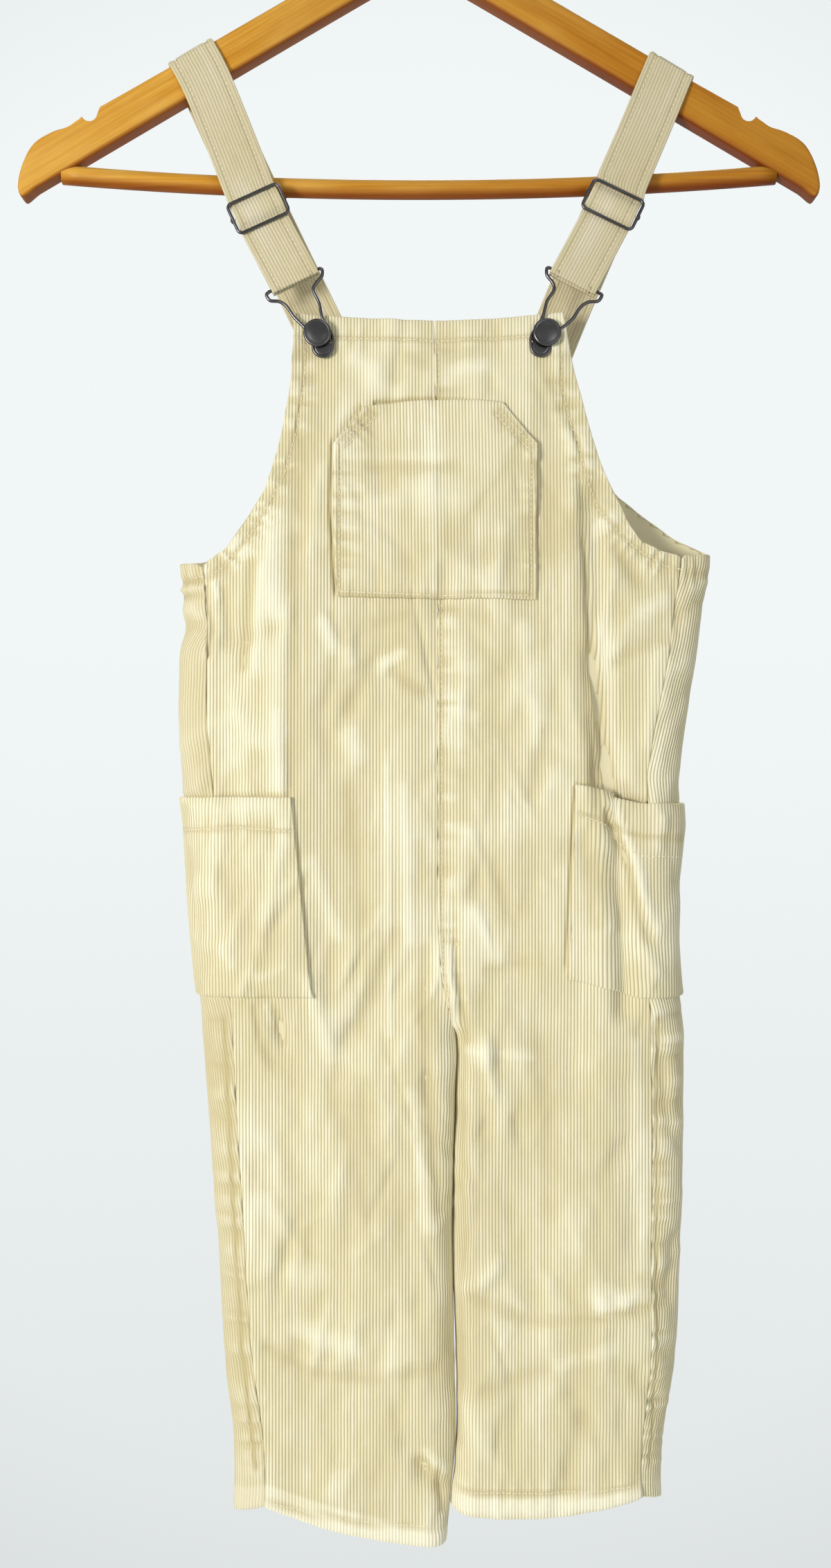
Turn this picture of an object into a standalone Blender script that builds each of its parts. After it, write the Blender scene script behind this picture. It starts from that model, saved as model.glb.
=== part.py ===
"""Child's corduroy bib overalls hung by their straps on a wooden hanger.

Tables and sizes are in millimetres. X runs to the viewer's right, the front faces -Y, and a drop
is a distance below the origin, which is the top of the inside of the hanger's hook.
"""

from math import cos, hypot, pi, radians, sin

import bmesh
import bpy
import numpy as np

MM = 0.001

# Cloth
CLOTH = 1.8
SEAM_GAP = 0.3
SIDE_ROUND = 22.0  # how far in from the side fold the front and back become flat
INSEAM_ROUND = 14.0
PINCH_TOP = 671.0  # the front and back seams turn towards each other below this
CROTCH = 703.0
BIB_TOP = 303.7
BIB_STITCH = 311.3
BACK_TOP = 347.3
FAN_END = 445.0  # rows that end on an armhole start above this
LEVEL_END = 893.0  # rows slope towards the hem below this
POCKET_TOP = 348.5
POCKET_CORNER = 371.0
POCKET_FOOT = 458.0
FRONT_COLUMNS = (7, 5)  # centre seam to pocket line, pocket line to side seam
BACK_COLUMNS = (6, 5)  # side seam to pocket's back edge, that edge to the centre seam
SIDE_POCKET_BACK = 50.0  # how far a side pocket reaches behind its side seam
SIDE_POCKETS = {"left": (567.9, 678.2), "right": (561.0, 669.0)}  # drops of mouth and foot
POCKET_GAPE = 3.2  # how far the slack mouth of the right side pocket stands off
POCKET_GAPE_DEPTH = 45.0

# How finely the form is worked out before the panels are cut from it
DROP_STEP = 2.0
DROPS = np.arange(296.0, 992.0, DROP_STEP)
SMOOTHING = 4.0  # standard deviation, along the drop, of the smoothing of the sections
ROUND_SAMPLES = 24  # points round each end of a face
FLAT_SAMPLES = 28  # points between its ends
FACE_SAMPLES = 40  # even steps that a face is then divided into
SLOPE_STEP = 0.6  # half the distance over which a normal is measured

# One row a level: the drop, the side folds' X, the centre seam's or the inseams' X, half the
# depth, and how far in from each side fold its side seam lies.
SECTIONS = (
    # drop, fold_left, fold_right, inner_left, inner_right, depth, seam_left, seam_right
    (303.0, -134.1, 163.3, 8.4, 8.4, 8.0, 14.2, 17.6),
    (347.0, -134.1, 163.3, 9.5, 9.5, 8.6, 14.2, 17.6),
    (395.0, -134.1, 163.3, 10.3, 10.3, 10.5, 14.2, 17.6),
    (439.0, -134.1, 163.3, 10.7, 10.7, 13.5, 14.2, 18.1),
    (449.0, -132.1, 161.4, 10.7, 10.7, 14.0, 14.2, 17.6),
    (464.0, -131.9, 158.6, 10.7, 10.7, 14.5, 13.7, 17.1),
    (474.0, -129.7, 157.4, 10.7, 10.7, 15.0, 13.7, 17.1),
    (484.0, -134.1, 156.3, 10.7, 10.7, 15.3, 16.7, 17.1),
    (525.0, -134.4, 149.7, 10.3, 10.3, 16.0, 17.2, 18.6),
    (556.0, -132.5, 145.4, 10.3, 10.3, 16.5, 18.2, 19.6),
    (587.0, -130.1, 146.9, 10.3, 10.3, 17.0, 18.2, 20.6),
    (617.0, -128.6, 143.4, 10.3, 10.3, 17.0, 18.2, 20.6),
    (648.0, -125.9, 143.1, 10.7, 10.7, 17.0, 18.2, 19.6),
    (663.0, -124.7, 144.6, 11.9, 11.9, 17.0, 18.2, 18.6),
    (677.0, -123.1, 145.7, 14.2, 14.2, 16.5, 18.2, 19.1),
    (687.0, -122.0, 147.7, 18.0, 18.0, 16.0, 18.2, 19.6),
    (703.0, -121.2, 148.5, 21.1, 21.1, 15.5, 18.2, 20.1),
    (713.0, -120.4, 148.5, 16.5, 21.8, 15.2, 18.2, 20.1),
    (723.0, -119.7, 148.5, 14.6, 21.8, 15.0, 17.7, 19.6),
    (752.0, -117.3, 148.5, 14.6, 21.4, 14.5, 17.2, 19.1),
    (778.0, -115.4, 147.7, 15.7, 20.7, 14.0, 16.7, 18.6),
    (816.0, -112.6, 146.9, 17.2, 20.3, 13.6, 16.2, 18.1),
    (862.0, -110.3, 145.4, 18.6, 20.3, 13.3, 16.2, 16.6),
    (893.0, -108.0, 142.7, 18.6, 20.3, 13.0, 17.2, 14.6),
    (921.0, -104.1, 137.6, 17.6, 19.5, 13.0, 17.7, 13.1),
    (944.0, -103.3, 136.0, 15.7, 17.8, 13.0, 18.2, 12.1),
    (990.0, -104.4, 136.8, 16.0, 17.6, 13.0, 18.2, 11.6),
)
SECTION_COLUMNS = ("drop", "fold_left", "fold_right", "inner_left", "inner_right", "depth",
                   "seam_left", "seam_right")

# Armhole edges, from the bib's corner down to the side seam or round to the side fold: X, drop.
ARMHOLES = {
    "front_left": ((-69.7, 304.0), (-70.1, 319.4), (-72.4, 342.7), (-76.2, 364.6), (-79.7, 378.3),
                   (-85.0, 396.0), (-94.6, 412.4), (-106.9, 430.1), (-119.9, 439.2)),
    "front_right": ((80.0, 303.7), (85.4, 325.9), (90.0, 342.7), (95.8, 364.6), (103.0, 387.9),
                    (109.9, 401.3), (118.3, 419.3), (123.7, 426.2), (136.0, 432.4), (145.2, 434.3)),
    "back_left": ((-63.0, 347.3), (-66.1, 355.2), (-72.8, 373.0), (-81.5, 392.6), (-94.4, 412.3),
                  (-108.2, 427.2), (-121.6, 434.7), (-134.1, 437.5)),
    "back_right": ((89.3, 347.3), (91.7, 351.3), (97.2, 369.0), (104.3, 386.7), (112.9, 396.9),
                   (131.4, 411.1), (145.2, 421.0), (156.6, 427.2), (163.3, 432.1)),
}

# Where a row's outer end lies against its centre, and how far its middle sags: centre, end, sag.
ROW_ENDS = {
    "left": ((445.0, 439.2, 0.0), (505.0, 505.0, 0.0), (893.0, 893.0, 0.0),
             (972.8, 948.3, 5.0), (984.3, 961.3, 5.7)),
    "right": ((445.0, 434.3, 0.0), (505.0, 505.0, 0.0), (561.0, 571.4, 0.0), (669.0, 679.0, 0.0),
              (712.0, 712.0, 0.0), (893.0, 893.0, 0.0), (953.0, 947.0, 6.0), (964.3, 957.1, 7.5)),
}

# Drops of each side's rows that carry an edge or a stitch line, and the rows from each to the next.
FRONT_LEVELS = {
    "left": ((BIB_TOP, 1), (BIB_STITCH, 3), (POCKET_TOP, 2), (POCKET_CORNER, 6), (POCKET_FOOT, 8),
             (567.9, 1), (585.9, 6), (678.2, 1), (684.0, 2), (CROTCH, 1), (713.0, 12),
             (972.8, 1), (984.3, 0)),
    "right": ((BIB_TOP, 1), (BIB_STITCH, 3), (POCKET_TOP, 2), (POCKET_CORNER, 6), (POCKET_FOOT, 8),
              (561.0, 1), (577.5, 6), (669.0, 1), (684.0, 2), (CROTCH, 1), (713.0, 11),
              (953.0, 1), (964.3, 0)),
}
BACK_FAN_ROWS = 8  # rows of the back that end on its armhole

# The column line that the pockets' edges follow: drop, X on the left, X on the right.
POCKET_LINE = (
    (303.7, -24.9, 42.1),
    (348.5, -30.3, 46.3),
    (371.0, -47.5, 65.9),
    (408.0, -48.3, 65.1),
    (457.5, -45.2, 64.7),
    (565.0, -70.5, 86.6),
    (674.0, -59.7, 82.3),
    (703.0, -47.9, 76.6),
    (778.0, -44.0, 78.5),
    (990.0, -40.2, 74.7),
)

# Folds of the hanging cloth: the two ends' X and drop, the width across, and the height, which is
# negative for a trough.
FRONT_FOLDS = (
    # x0, drop0, x1, drop1, width, height
    (88.0, 395.0, 104.0, 690.0, 9.0, 2.2),
    (95.0, 400.0, 114.0, 690.0, 7.0, -4.5),
    (-70.0, 350.0, -76.0, 690.0, 22.0, 3.0),
    (-105.0, 455.0, -105.0, 575.0, 10.0, -2.2),
    (10.5, 455.0, 13.5, 675.0, 9.0, -2.0),
    (-12.0, 488.0, -22.0, 512.0, 7.0, -2.0),
    (-2.0, 655.0, -55.0, 730.0, 13.0, -2.2),
    (44.0, 662.0, 95.0, 730.0, 13.0, -2.2),
    (-95.0, 832.0, -24.0, 858.0, 10.0, 2.4),
    (-8.0, 925.0, 12.0, 957.0, 7.0, -2.4),
    (78.0, 858.0, 132.0, 858.0, 10.0, 2.0),
    (-82.0, 676.0, -74.0, 712.0, 7.0, -1.8),
    (105.0, 690.0, 100.0, 930.0, 15.0, 2.4),
    (-66.0, 700.0, -52.0, 940.0, 18.0, -2.4),
    (60.0, 690.0, 55.0, 930.0, 14.0, -1.8),
)
BACK_FOLDS = (
    (-60.0, 420.0, -52.0, 660.0, 20.0, 2.6),
    (84.0, 430.0, 76.0, 650.0, 18.0, -2.6),
    (10.5, 450.0, 13.0, 670.0, 10.0, -2.0),
    (-60.0, 720.0, -48.0, 930.0, 16.0, 2.2),
    (84.0, 720.0, 80.0, 930.0, 16.0, -2.2),
    (30.0, 520.0, 70.0, 545.0, 11.0, 2.0),
)

# Straps
STRAP_WIDTH = 28.0
STRAP = 1.8
STRAP_SEAT = 0.45  # room between the sewn end of a strap and the back it lies on
STRAP_Y = 7.2  # the strap's middle plane beside the hanger's arm

# Hanger
ARM_THICK = 12.0
ARM_SLOPE = 0.59  # drop for each millimetre out from the middle
ARM_APEX = 76.7  # drop where the straight upper edges would meet
ARM_DEEP = 24.2  # between the upper and lower edges, measured straight down
ARM_TOP_ROUND = 16.0
ARM_CROTCH_ROUND = 6.0
ARM_EDGE = 2.4
ARM_TIP = ((205.0, 195.5), (215.5, 202.0), (222.0, 213.5), (224.6, 226.0), (221.5, 232.3))
NOTCH_X = 184.3
NOTCH_RADIUS = 4.4
BAR_RADIUS = 5.2
BAR_DROP = 218.1  # at its ends
BAR_SAG = 8.4
BAR_CLEAR = 0.7  # along X, from its slanted ends to the arms
BAR_SIDES = 12
BAR_SPANS = 5  # along each half
HOOK_INSIDE = 20.0
HOOK_WIRE = 1.75
HOOK_BEND = ((0.0, 62.0), (0.0, 50.0), (8.0, 42.8))  # stem's top and the two handles of its bend
HOOK_START, HOOK_END = -45.0, 205.0  # angles on the hook's circle

# Sliders, clips and buttons
SLIDER_WIRE = 0.9
SLIDER_HALF_WIDTH = 15.3
SLIDER_HALF_HEIGHT = 8.7
SLIDER_CORNER = 2.6
SLIDER_Y = -13.9
SLIDER_BAR = 0.8
SLIDER_BAR_Y = -12.6
CLIP_WIRE = 0.95
CLIP_Y = -10.85
CLIP_FOOT_RADIUS = 5.3
CLIP_OVERHANG = 1.5  # how far the top wire passes the strap's edge
PLATE_THICK = 0.9
PLATE_SIDES = 20
BUTTON_SHANK = 2.0
# Turned outline of a button: radius and how far it stands forward of its foot.
BUTTON_PROFILE = ((0.0, 0.0), (4.2, 0.0), (4.2, 0.8), (2.0, 0.8), (2.0, 4.4), (7.1, 4.4),
                  (7.7, 4.9), (7.7, 5.5), (6.9, 6.1), (4.0, 6.5), (0.0, 6.6))

# The front strap's path across the slider: how far past the slider's middle, and Y.
SLIDER_WEAVE = ((-11.3, -11.6), (-8.7, -11.75), (-6.4, -12.3), (-3.3, -14.2), (0.0, -14.75),
                (3.3, -14.2), (6.4, -12.3), (8.7, -11.75), (11.3, -11.75))
STRAP_END = 4.0  # the strap's turned-back end lies this far below the slider's middle

# Each side's strap and fittings. Strap rows: X, drop, lean of the strap's width in degrees.
SIDES = {
    "left": {
        "sign": -1,
        "strap_over": -127.5,
        "strap_back": ((-95.7, 220.3, 25.9), (-56.7, 300.5, 25.9), (-33.9, 347.3, 25.9),
                       (-21.9, 372.0, 25.9)),
        "strap_front": ((-117.7, 170.9, 24.5), (-103.6, 205.9, 22.8)),
        "slider": (-88.9, 242.4, 24.5),
        "strap_fold": (-69.2, 281.0, 25.0),
        "clip_outer": ((-84.6, 289.2), (-82.6, 292.3), (-77.5, 292.9), (-73.4, 295.6),
                       (-69.4, 301.4), (-63.6, 307.2), (-59.7, 311.8)),
        "clip_inner": ((-53.7, 275.2), (-53.9, 278.8), (-57.0, 282.6), (-58.6, 286.4),
                       (-55.4, 293.6), (-53.6, 302.0), (-50.4, 307.4), (-48.0, 312.6)),
        "clip_foot": (-53.4, 318.0),
        "button": (-56.3, 310.9),
    },
    "right": {
        "sign": 1,
        "strap_over": 141.0,
        "strap_back": ((86.6, 283.4, -21.7), (61.2, 347.3, -21.7), (51.4, 372.0, -21.7)),
        "strap_front": ((126.9, 193.3, -23.5), (114.0, 224.0, -23.5)),
        "slider": (107.4, 240.1, -26.0),
        "strap_fold": (86.2, 281.0, -27.0),
        "clip_outer": ((101.6, 289.4), (99.4, 292.6), (94.0, 293.2), (89.6, 296.2),
                       (85.4, 302.4), (79.4, 307.6), (74.3, 311.8)),
        "clip_inner": ((71.0, 274.6), (71.2, 278.4), (74.4, 282.6), (74.9, 286.6),
                       (71.2, 292.6), (68.6, 301.6), (65.2, 307.0), (62.4, 312.4)),
        "clip_foot": (67.6, 317.6),
        "button": (70.9, 310.6),
    },
}

COLOURS = {
    "corduroy": ((0.62, 0.53, 0.36), 0.9, 0.0),
    "honey_wood": ((0.62, 0.31, 0.09), 0.35, 0.0),
    "black_nickel": ((0.06, 0.055, 0.06), 0.25, 1.0),
    "chrome": ((0.62, 0.62, 0.64), 0.2, 1.0),
}


# ---------------------------------------------------------------- tools

def clear_scene():
    for item in list(bpy.data.objects):
        bpy.data.objects.remove(item, do_unlink=True)


def material(name):
    colour, roughness, metallic = COLOURS[name]
    made = bpy.data.materials.get(name)
    if made is None:
        made = bpy.data.materials.new(name)
        made.use_nodes = True
        shader = made.node_tree.nodes["Principled BSDF"]
        shader.inputs["Base Color"].default_value = (*colour, 1.0)
        shader.inputs["Roughness"].default_value = roughness
        shader.inputs["Metallic"].default_value = metallic
    return made


def solid(name, points, faces, finish):
    """An object from points in millimetres."""
    mesh = bpy.data.meshes.new(name)
    mesh.from_pydata([tuple(float(c) * MM for c in point) for point in points], [], faces)
    mesh.materials.append(material(finish))
    made = bpy.data.objects.new(name, mesh)
    bpy.context.collection.objects.link(made)
    return made


def place(x, drop, y=0.0):
    return np.array((x, y, -drop))


def unit(vector):
    return vector / np.linalg.norm(vector)


# ---------------------------------------------------------------- the garment's form

def section_values(column):
    """A column of SECTIONS at every one of DROPS, with its corners eased."""
    index = SECTION_COLUMNS.index(column)
    drops = [row[0] for row in SECTIONS]
    reach = int(4 * SMOOTHING / DROP_STEP)
    offsets = np.arange(-reach, reach + 1) * DROP_STEP
    weights = np.exp(-0.5 * (offsets / SMOOTHING) ** 2)
    spread = np.concatenate([DROPS[0] + offsets[:reach], DROPS, DROPS[-1] + offsets[reach + 1:]])
    values = np.interp(spread, drops, [row[index] for row in SECTIONS])
    return np.convolve(values, weights / weights.sum(), "valid")


def smoothstep(value):
    value = np.clip(value, 0.0, 1.0)
    return value * value * (3.0 - 2.0 * value)


def fold_height(folds, x, drop):
    """How far the folds raise the cloth at a point seen from the front."""
    height = np.zeros_like(x)
    for x0, drop0, x1, drop1, width, rise in folds:
        length = hypot(x1 - x0, drop1 - drop0)
        along = ((x - x0) * (x1 - x0) + (drop - drop0) * (drop1 - drop0)) / length
        across = ((x - x0) * (drop1 - drop0) - (drop - drop0) * (x1 - x0)) / length
        start = smoothstep(along / (2.0 * width) + 0.5)
        end = smoothstep((length - along) / (2.0 * width) + 0.5)
        height += rise * start * end * np.exp(-(across / width) ** 2)
    return height


class Half:
    """One side of the garment as a surface, from the centre front (0) round the side fold (1) to
    the centre back (2). A place on it is (way, drop), and way runs evenly along each face."""

    def __init__(self, side):
        self.side = side
        self.sign = SIDES[side]["sign"]
        self.fold = section_values("fold_" + side)
        self.inner = section_values("inner_" + side)
        self.depth = section_values("depth")
        self.seam = section_values("seam_" + side)
        self.width = self.sign * (self.fold - self.inner)
        self.faces = np.array([self.face(row) for row in range(len(DROPS))])

    def face(self, row):
        """Even samples along one face, from the centre to the side fold: distance out from the
        centre, distance forward of the middle plane, and how squarely it faces forward."""
        width, depth = self.width[row], self.depth[row]
        quarter = np.linspace(0.0, pi / 2, ROUND_SAMPLES)
        inner = INSEAM_ROUND * (1.0 - np.cos(quarter))
        flat = np.linspace(INSEAM_ROUND, width - SIDE_ROUND, FLAT_SAMPLES + 2)[1:-1]
        outer = width - SIDE_ROUND * (1.0 - np.sin(quarter))
        out = np.concatenate([inner, flat, outer])
        pinch = smoothstep((DROPS[row] - PINCH_TOP) / (CROTCH - PINCH_TOP))
        beyond = np.ones(FLAT_SAMPLES + ROUND_SAMPLES)
        near = np.concatenate([np.sin(quarter), beyond])
        far = np.concatenate([beyond, np.cos(quarter)])
        squareness = far * (1.0 - pinch + pinch * near)
        forward = depth * squareness
        way = np.concatenate([[0.0], np.cumsum(np.hypot(np.diff(out), np.diff(forward)))])
        even = np.linspace(0.0, way[-1], FACE_SAMPLES + 1)
        return np.stack([np.interp(even, way, out), np.interp(even, way, forward),
                         np.interp(even, way, squareness), even])

    def sample(self, way, drop):
        """Blend of the four nearest samples of the faces."""
        way, drop = np.broadcast_arrays(np.asarray(way, float), np.asarray(drop, float))
        place_on = np.clip(np.where(way <= 1.0, way, 2.0 - way), 0.0, 1.0) * FACE_SAMPLES
        row_on = np.clip((drop - DROPS[0]) / DROP_STEP, 0.0, len(DROPS) - 1.001)
        column = np.minimum(place_on.astype(int), FACE_SAMPLES - 1)
        row = row_on.astype(int)
        u, v = place_on - column, row_on - row
        grid = self.faces
        value = ((1 - u) * (1 - v))[..., None] * grid[row, :, column]
        value = value + (u * (1 - v))[..., None] * grid[row, :, column + 1]
        value = value + ((1 - u) * v)[..., None] * grid[row + 1, :, column]
        return value + (u * v)[..., None] * grid[row + 1, :, column + 1]

    def points(self, way, drop):
        """The cloth's outer surface in millimetres."""
        way, drop = np.broadcast_arrays(np.asarray(way, float), np.asarray(drop, float))
        value = self.sample(way, drop)
        inner = np.interp(drop, DROPS, self.inner)
        x = inner + self.sign * (value[..., 0] + SEAM_GAP / 2)
        front = way <= 1.0
        folds = np.where(front, fold_height(FRONT_FOLDS, x, drop), fold_height(BACK_FOLDS, x, drop))
        forward = value[..., 1] + folds * np.minimum(value[..., 2], 1.0)
        forward = np.maximum(forward, 0.0)
        return np.stack([x, np.where(front, -forward, forward), -drop], axis=-1)

    def apart(self, points, way):
        """Points near the inseam kept on their own panel's side of the middle plane."""
        y = points[..., 1]
        y = np.where(way < 0.5, np.minimum(y, -SEAM_GAP / 2), y)
        points[..., 1] = np.where(way > 1.5, np.maximum(y, SEAM_GAP / 2), y)
        return points

    def normals(self, way, drop):
        step = SLOPE_STEP / self.length(drop)
        after = self.points(np.clip(way + step, 0.0, 2.0), drop)
        along = after - self.points(np.clip(way - step, 0.0, 2.0), drop)
        down = self.points(way, drop + SLOPE_STEP) - self.points(way, drop - SLOPE_STEP)
        normal = np.cross(down, along) * self.sign
        return normal / np.linalg.norm(normal, axis=-1, keepdims=True)

    def way_at(self, x, drop, back=False):
        """The way at an X on the front face or the back face."""
        out = self.sign * (x - np.interp(drop, DROPS, self.inner)) - SEAM_GAP / 2
        row = int(np.clip(round((drop - DROPS[0]) / DROP_STEP), 0, len(DROPS) - 1))
        way = np.interp(out, self.faces[row, 0], np.linspace(0.0, 1.0, FACE_SAMPLES + 1))
        return 2.0 - way if back else way

    def length(self, drop):
        """Length of one face, from the centre to the side fold."""
        return np.interp(drop, DROPS, self.faces[:, 3, -1])

    def seam_way(self, drop):
        """The side seam, on the front face."""
        fold = np.interp(drop, DROPS, self.fold)
        return self.way_at(fold - self.sign * np.interp(drop, DROPS, self.seam), drop)


def drops_from(levels):
    """Drops from each (drop, count) level to the next, in count even steps."""
    drops = []
    for (start, count), (end, _) in zip(levels, levels[1:]):
        drops += list(np.linspace(start, end, count + 1)[:-1])
    return drops + [levels[-1][0]]


def spaced(points, fractions):
    """Points along a line at fractions of its length."""
    points = np.array(points)
    lengths = np.concatenate([[0.0], np.cumsum(np.linalg.norm(np.diff(points, axis=0), axis=1))])
    at = np.asarray(fractions) * lengths[-1]
    return np.stack([np.interp(at, lengths, points[:, k]) for k in range(points.shape[1])], axis=-1)


def split_columns(first, share, second):
    """Fractions from 0 to 1 with first steps up to share and second steps after it."""
    before, after = np.linspace(0.0, share, first + 1), np.linspace(share, 1.0, second + 1)
    return np.concatenate([before, after[1:]])


def front_grid(half):
    """Ways and drops of a front panel, and the index of each level's row."""
    side = half.side
    drops = drops_from(FRONT_LEVELS[side])
    fan = [drop for drop in drops if drop < FAN_END]
    shares = [(drop - BIB_TOP) / (FAN_END - BIB_TOP) for drop in fan]
    ends = spaced(ARMHOLES["front_" + side], shares)
    line_x = [row[1 if side == "left" else 2] for row in POCKET_LINE]
    row_ends = np.array(ROW_ENDS[side])
    edge = SEAM_GAP / 2
    ways, rows = [], []
    for index, drop in enumerate(drops):
        if index < len(fan):
            end_x, end_drop = ends[index]
            end_way, sag = half.way_at(end_x, end_drop), 0.0
        else:
            end_drop = np.interp(drop, row_ends[:, 0], row_ends[:, 1])
            sag = np.interp(drop, row_ends[:, 0], row_ends[:, 2])
            end_way = half.seam_way(end_drop) - edge / half.length(end_drop)
        start_way = edge / half.length(drop)
        pocket_way = half.way_at(np.interp(drop, [row[0] for row in POCKET_LINE], line_x), drop)
        share = (pocket_way - start_way) / (end_way - start_way)
        u = split_columns(FRONT_COLUMNS[0], share, FRONT_COLUMNS[1])
        blend = smoothstep((u - share) / (1.0 - share)) if drop < LEVEL_END else u
        ways.append(start_way + (end_way - start_way) * u)
        rows.append(drop + (end_drop - drop) * blend + sag * 4.0 * u * (1.0 - u))
    return np.array(ways), np.array(rows), drops


def back_grid(half):
    """Ways and drops of a back panel, from the side seam to the centre back."""
    side = half.side
    trunk = [drop for drop in drops_from(FRONT_LEVELS[side]) if drop > FAN_END]
    fan = list(np.linspace(BACK_TOP, trunk[0], BACK_FAN_ROWS + 1)[:-1])
    edge = SEAM_GAP / 2
    armhole = [(half.way_at(x, drop, back=True), drop) for x, drop in ARMHOLES["back_" + side]]
    front_end = ARMHOLES["front_" + side][-1]
    armhole.append((half.seam_way(front_end[1]) + edge / half.length(front_end[1]), front_end[1]))
    ends = spaced([(way * half.length(drop), drop) for way, drop in armhole],
                  np.arange(len(fan)) / (len(fan) - 0.5))
    row_ends = np.array(ROW_ENDS[side])
    ways, rows = [], []
    for index, drop in enumerate(fan + trunk):
        if index < len(fan):
            end_drop, sag = ends[index][1], 0.0
            end_way = ends[index][0] / half.length(end_drop)
        else:
            end_drop = np.interp(drop, row_ends[:, 0], row_ends[:, 1])
            sag = np.interp(drop, row_ends[:, 0], row_ends[:, 2])
            end_way = half.seam_way(end_drop) + edge / half.length(end_drop)
        last_way = 2.0 - edge / half.length(drop)
        full = last_way - half.seam_way(end_drop)
        share = SIDE_POCKET_BACK / (full * half.length(end_drop))
        u = split_columns(BACK_COLUMNS[0], share, BACK_COLUMNS[1])
        blend = 1.0 - smoothstep((u - share) / (1.0 - share)) if drop < LEVEL_END else 1.0 - u
        ways.append(end_way + (last_way - end_way) * u)
        rows.append(drop + (end_drop - drop) * blend + sag * 4.0 * u * (1.0 - u))
    return np.array(ways), np.array(rows), fan + trunk


def wall(name, outer, inner, finish, flipped=()):
    """A closed wall between two grids of points. Columns in flipped are split the other way."""
    rows, columns = outer.shape[:2]
    points = np.concatenate([outer.reshape(-1, 3), inner.reshape(-1, 3)])
    count = rows * columns
    faces = []
    for row in range(rows - 1):
        for column in range(columns - 1):
            a = row * columns + column
            b, c, d = a + 1, a + columns + 1, a + columns
            pair = ((b, c, d), (b, d, a)) if column in flipped else ((a, b, c), (a, c, d))
            for corners in pair:
                faces.append(corners)
                faces.append(tuple(corner + count for corner in reversed(corners)))
    rim = list(range(columns))
    rim += [row * columns + columns - 1 for row in range(1, rows)]
    rim += [(rows - 1) * columns + column for column in range(columns - 2, -1, -1)]
    rim += [row * columns for row in range(rows - 2, 0, -1)]
    for start, end in zip(rim, rim[1:] + rim[:1]):
        faces.append((end, start, start + count, end + count))
    made = solid(name, points, faces, finish)
    face_out(made)
    return made


def face_out(made):
    """Turns a closed mesh's faces outward."""
    shape = bmesh.new()
    shape.from_mesh(made.data)
    bmesh.ops.recalc_face_normals(shape, faces=shape.faces)
    if shape.calc_volume(signed=True) < 0.0:
        bmesh.ops.reverse_faces(shape, faces=shape.faces)
    shape.to_mesh(made.data)
    shape.free()


def panel(name, half, ways, drops):
    outer = half.apart(half.points(ways, drops), ways)
    inner = half.apart(outer - CLOTH * half.normals(ways, drops), ways)
    return wall(name, outer, inner, "corduroy")


def level_index(drops, level):
    return int(np.argmin(np.abs(np.array(drops) - level)))


# ---------------------------------------------------------------- pockets

def patch(name, half_points, half_normals, lift, flipped=()):
    """A patch that lies on a panel, made from the panel's points moved out by lift."""
    inner = half_points + (SEAM_GAP + lift)[..., None] * half_normals
    outer = half_points + (SEAM_GAP + CLOTH + lift)[..., None] * half_normals
    return wall(name, outer, inner, "corduroy", flipped)


def side_pocket(half, front, back, top, foot, gape):
    """A patch over the side seam, from the pocket line on the front round to the back."""
    first, last = level_index(front[2], top), level_index(front[2], foot) + 1
    first_back = level_index(back[2], top)
    back_rows = slice(first_back, first_back + last - first)
    pocket_column = FRONT_COLUMNS[0]
    ways = np.concatenate([front[0][first:last, pocket_column:],
                           back[0][back_rows, :BACK_COLUMNS[0] + 1]], axis=1)
    drops = np.concatenate([front[1][first:last, pocket_column:],
                            back[1][back_rows, :BACK_COLUMNS[0] + 1]], axis=1)
    across = np.clip(np.arange(ways.shape[1]) / FRONT_COLUMNS[1], 0.0, 1.0)
    down = (drops - drops[0]) / POCKET_GAPE_DEPTH
    lift = gape * np.sin(pi * across) * (1.0 - smoothstep(down))
    patch("side_pocket_" + half.side, half.points(ways, drops), half.normals(ways, drops), lift)


def bib_pocket(halves, fronts):
    """A patch across the centre seam whose sides follow the pocket line."""
    rows = [slice(level_index(front[2], POCKET_TOP), level_index(front[2], POCKET_FOOT) + 1)
            for front in fronts]
    count = FRONT_COLUMNS[0] + 1
    points, normals = [], []
    for half, front, row in zip(halves, fronts, rows):
        ways, drops = front[0][row, :count], front[1][row, :count]
        points.append(half.points(ways, drops))
        normals.append(half.normals(ways, drops))
    points = np.concatenate([points[0][:, ::-1], points[1]], axis=1)
    normals = np.concatenate([normals[0][:, ::-1], normals[1]], axis=1)
    patch("bib_pocket", points, normals, np.zeros(points.shape[:2]), range(count - 1))


# ---------------------------------------------------------------- straps

def lean_vector(lean):
    """Unit vector across a strap that leans by so many degrees, in the plane of the front."""
    return np.array((cos(radians(lean)), 0.0, sin(radians(lean))))


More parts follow.
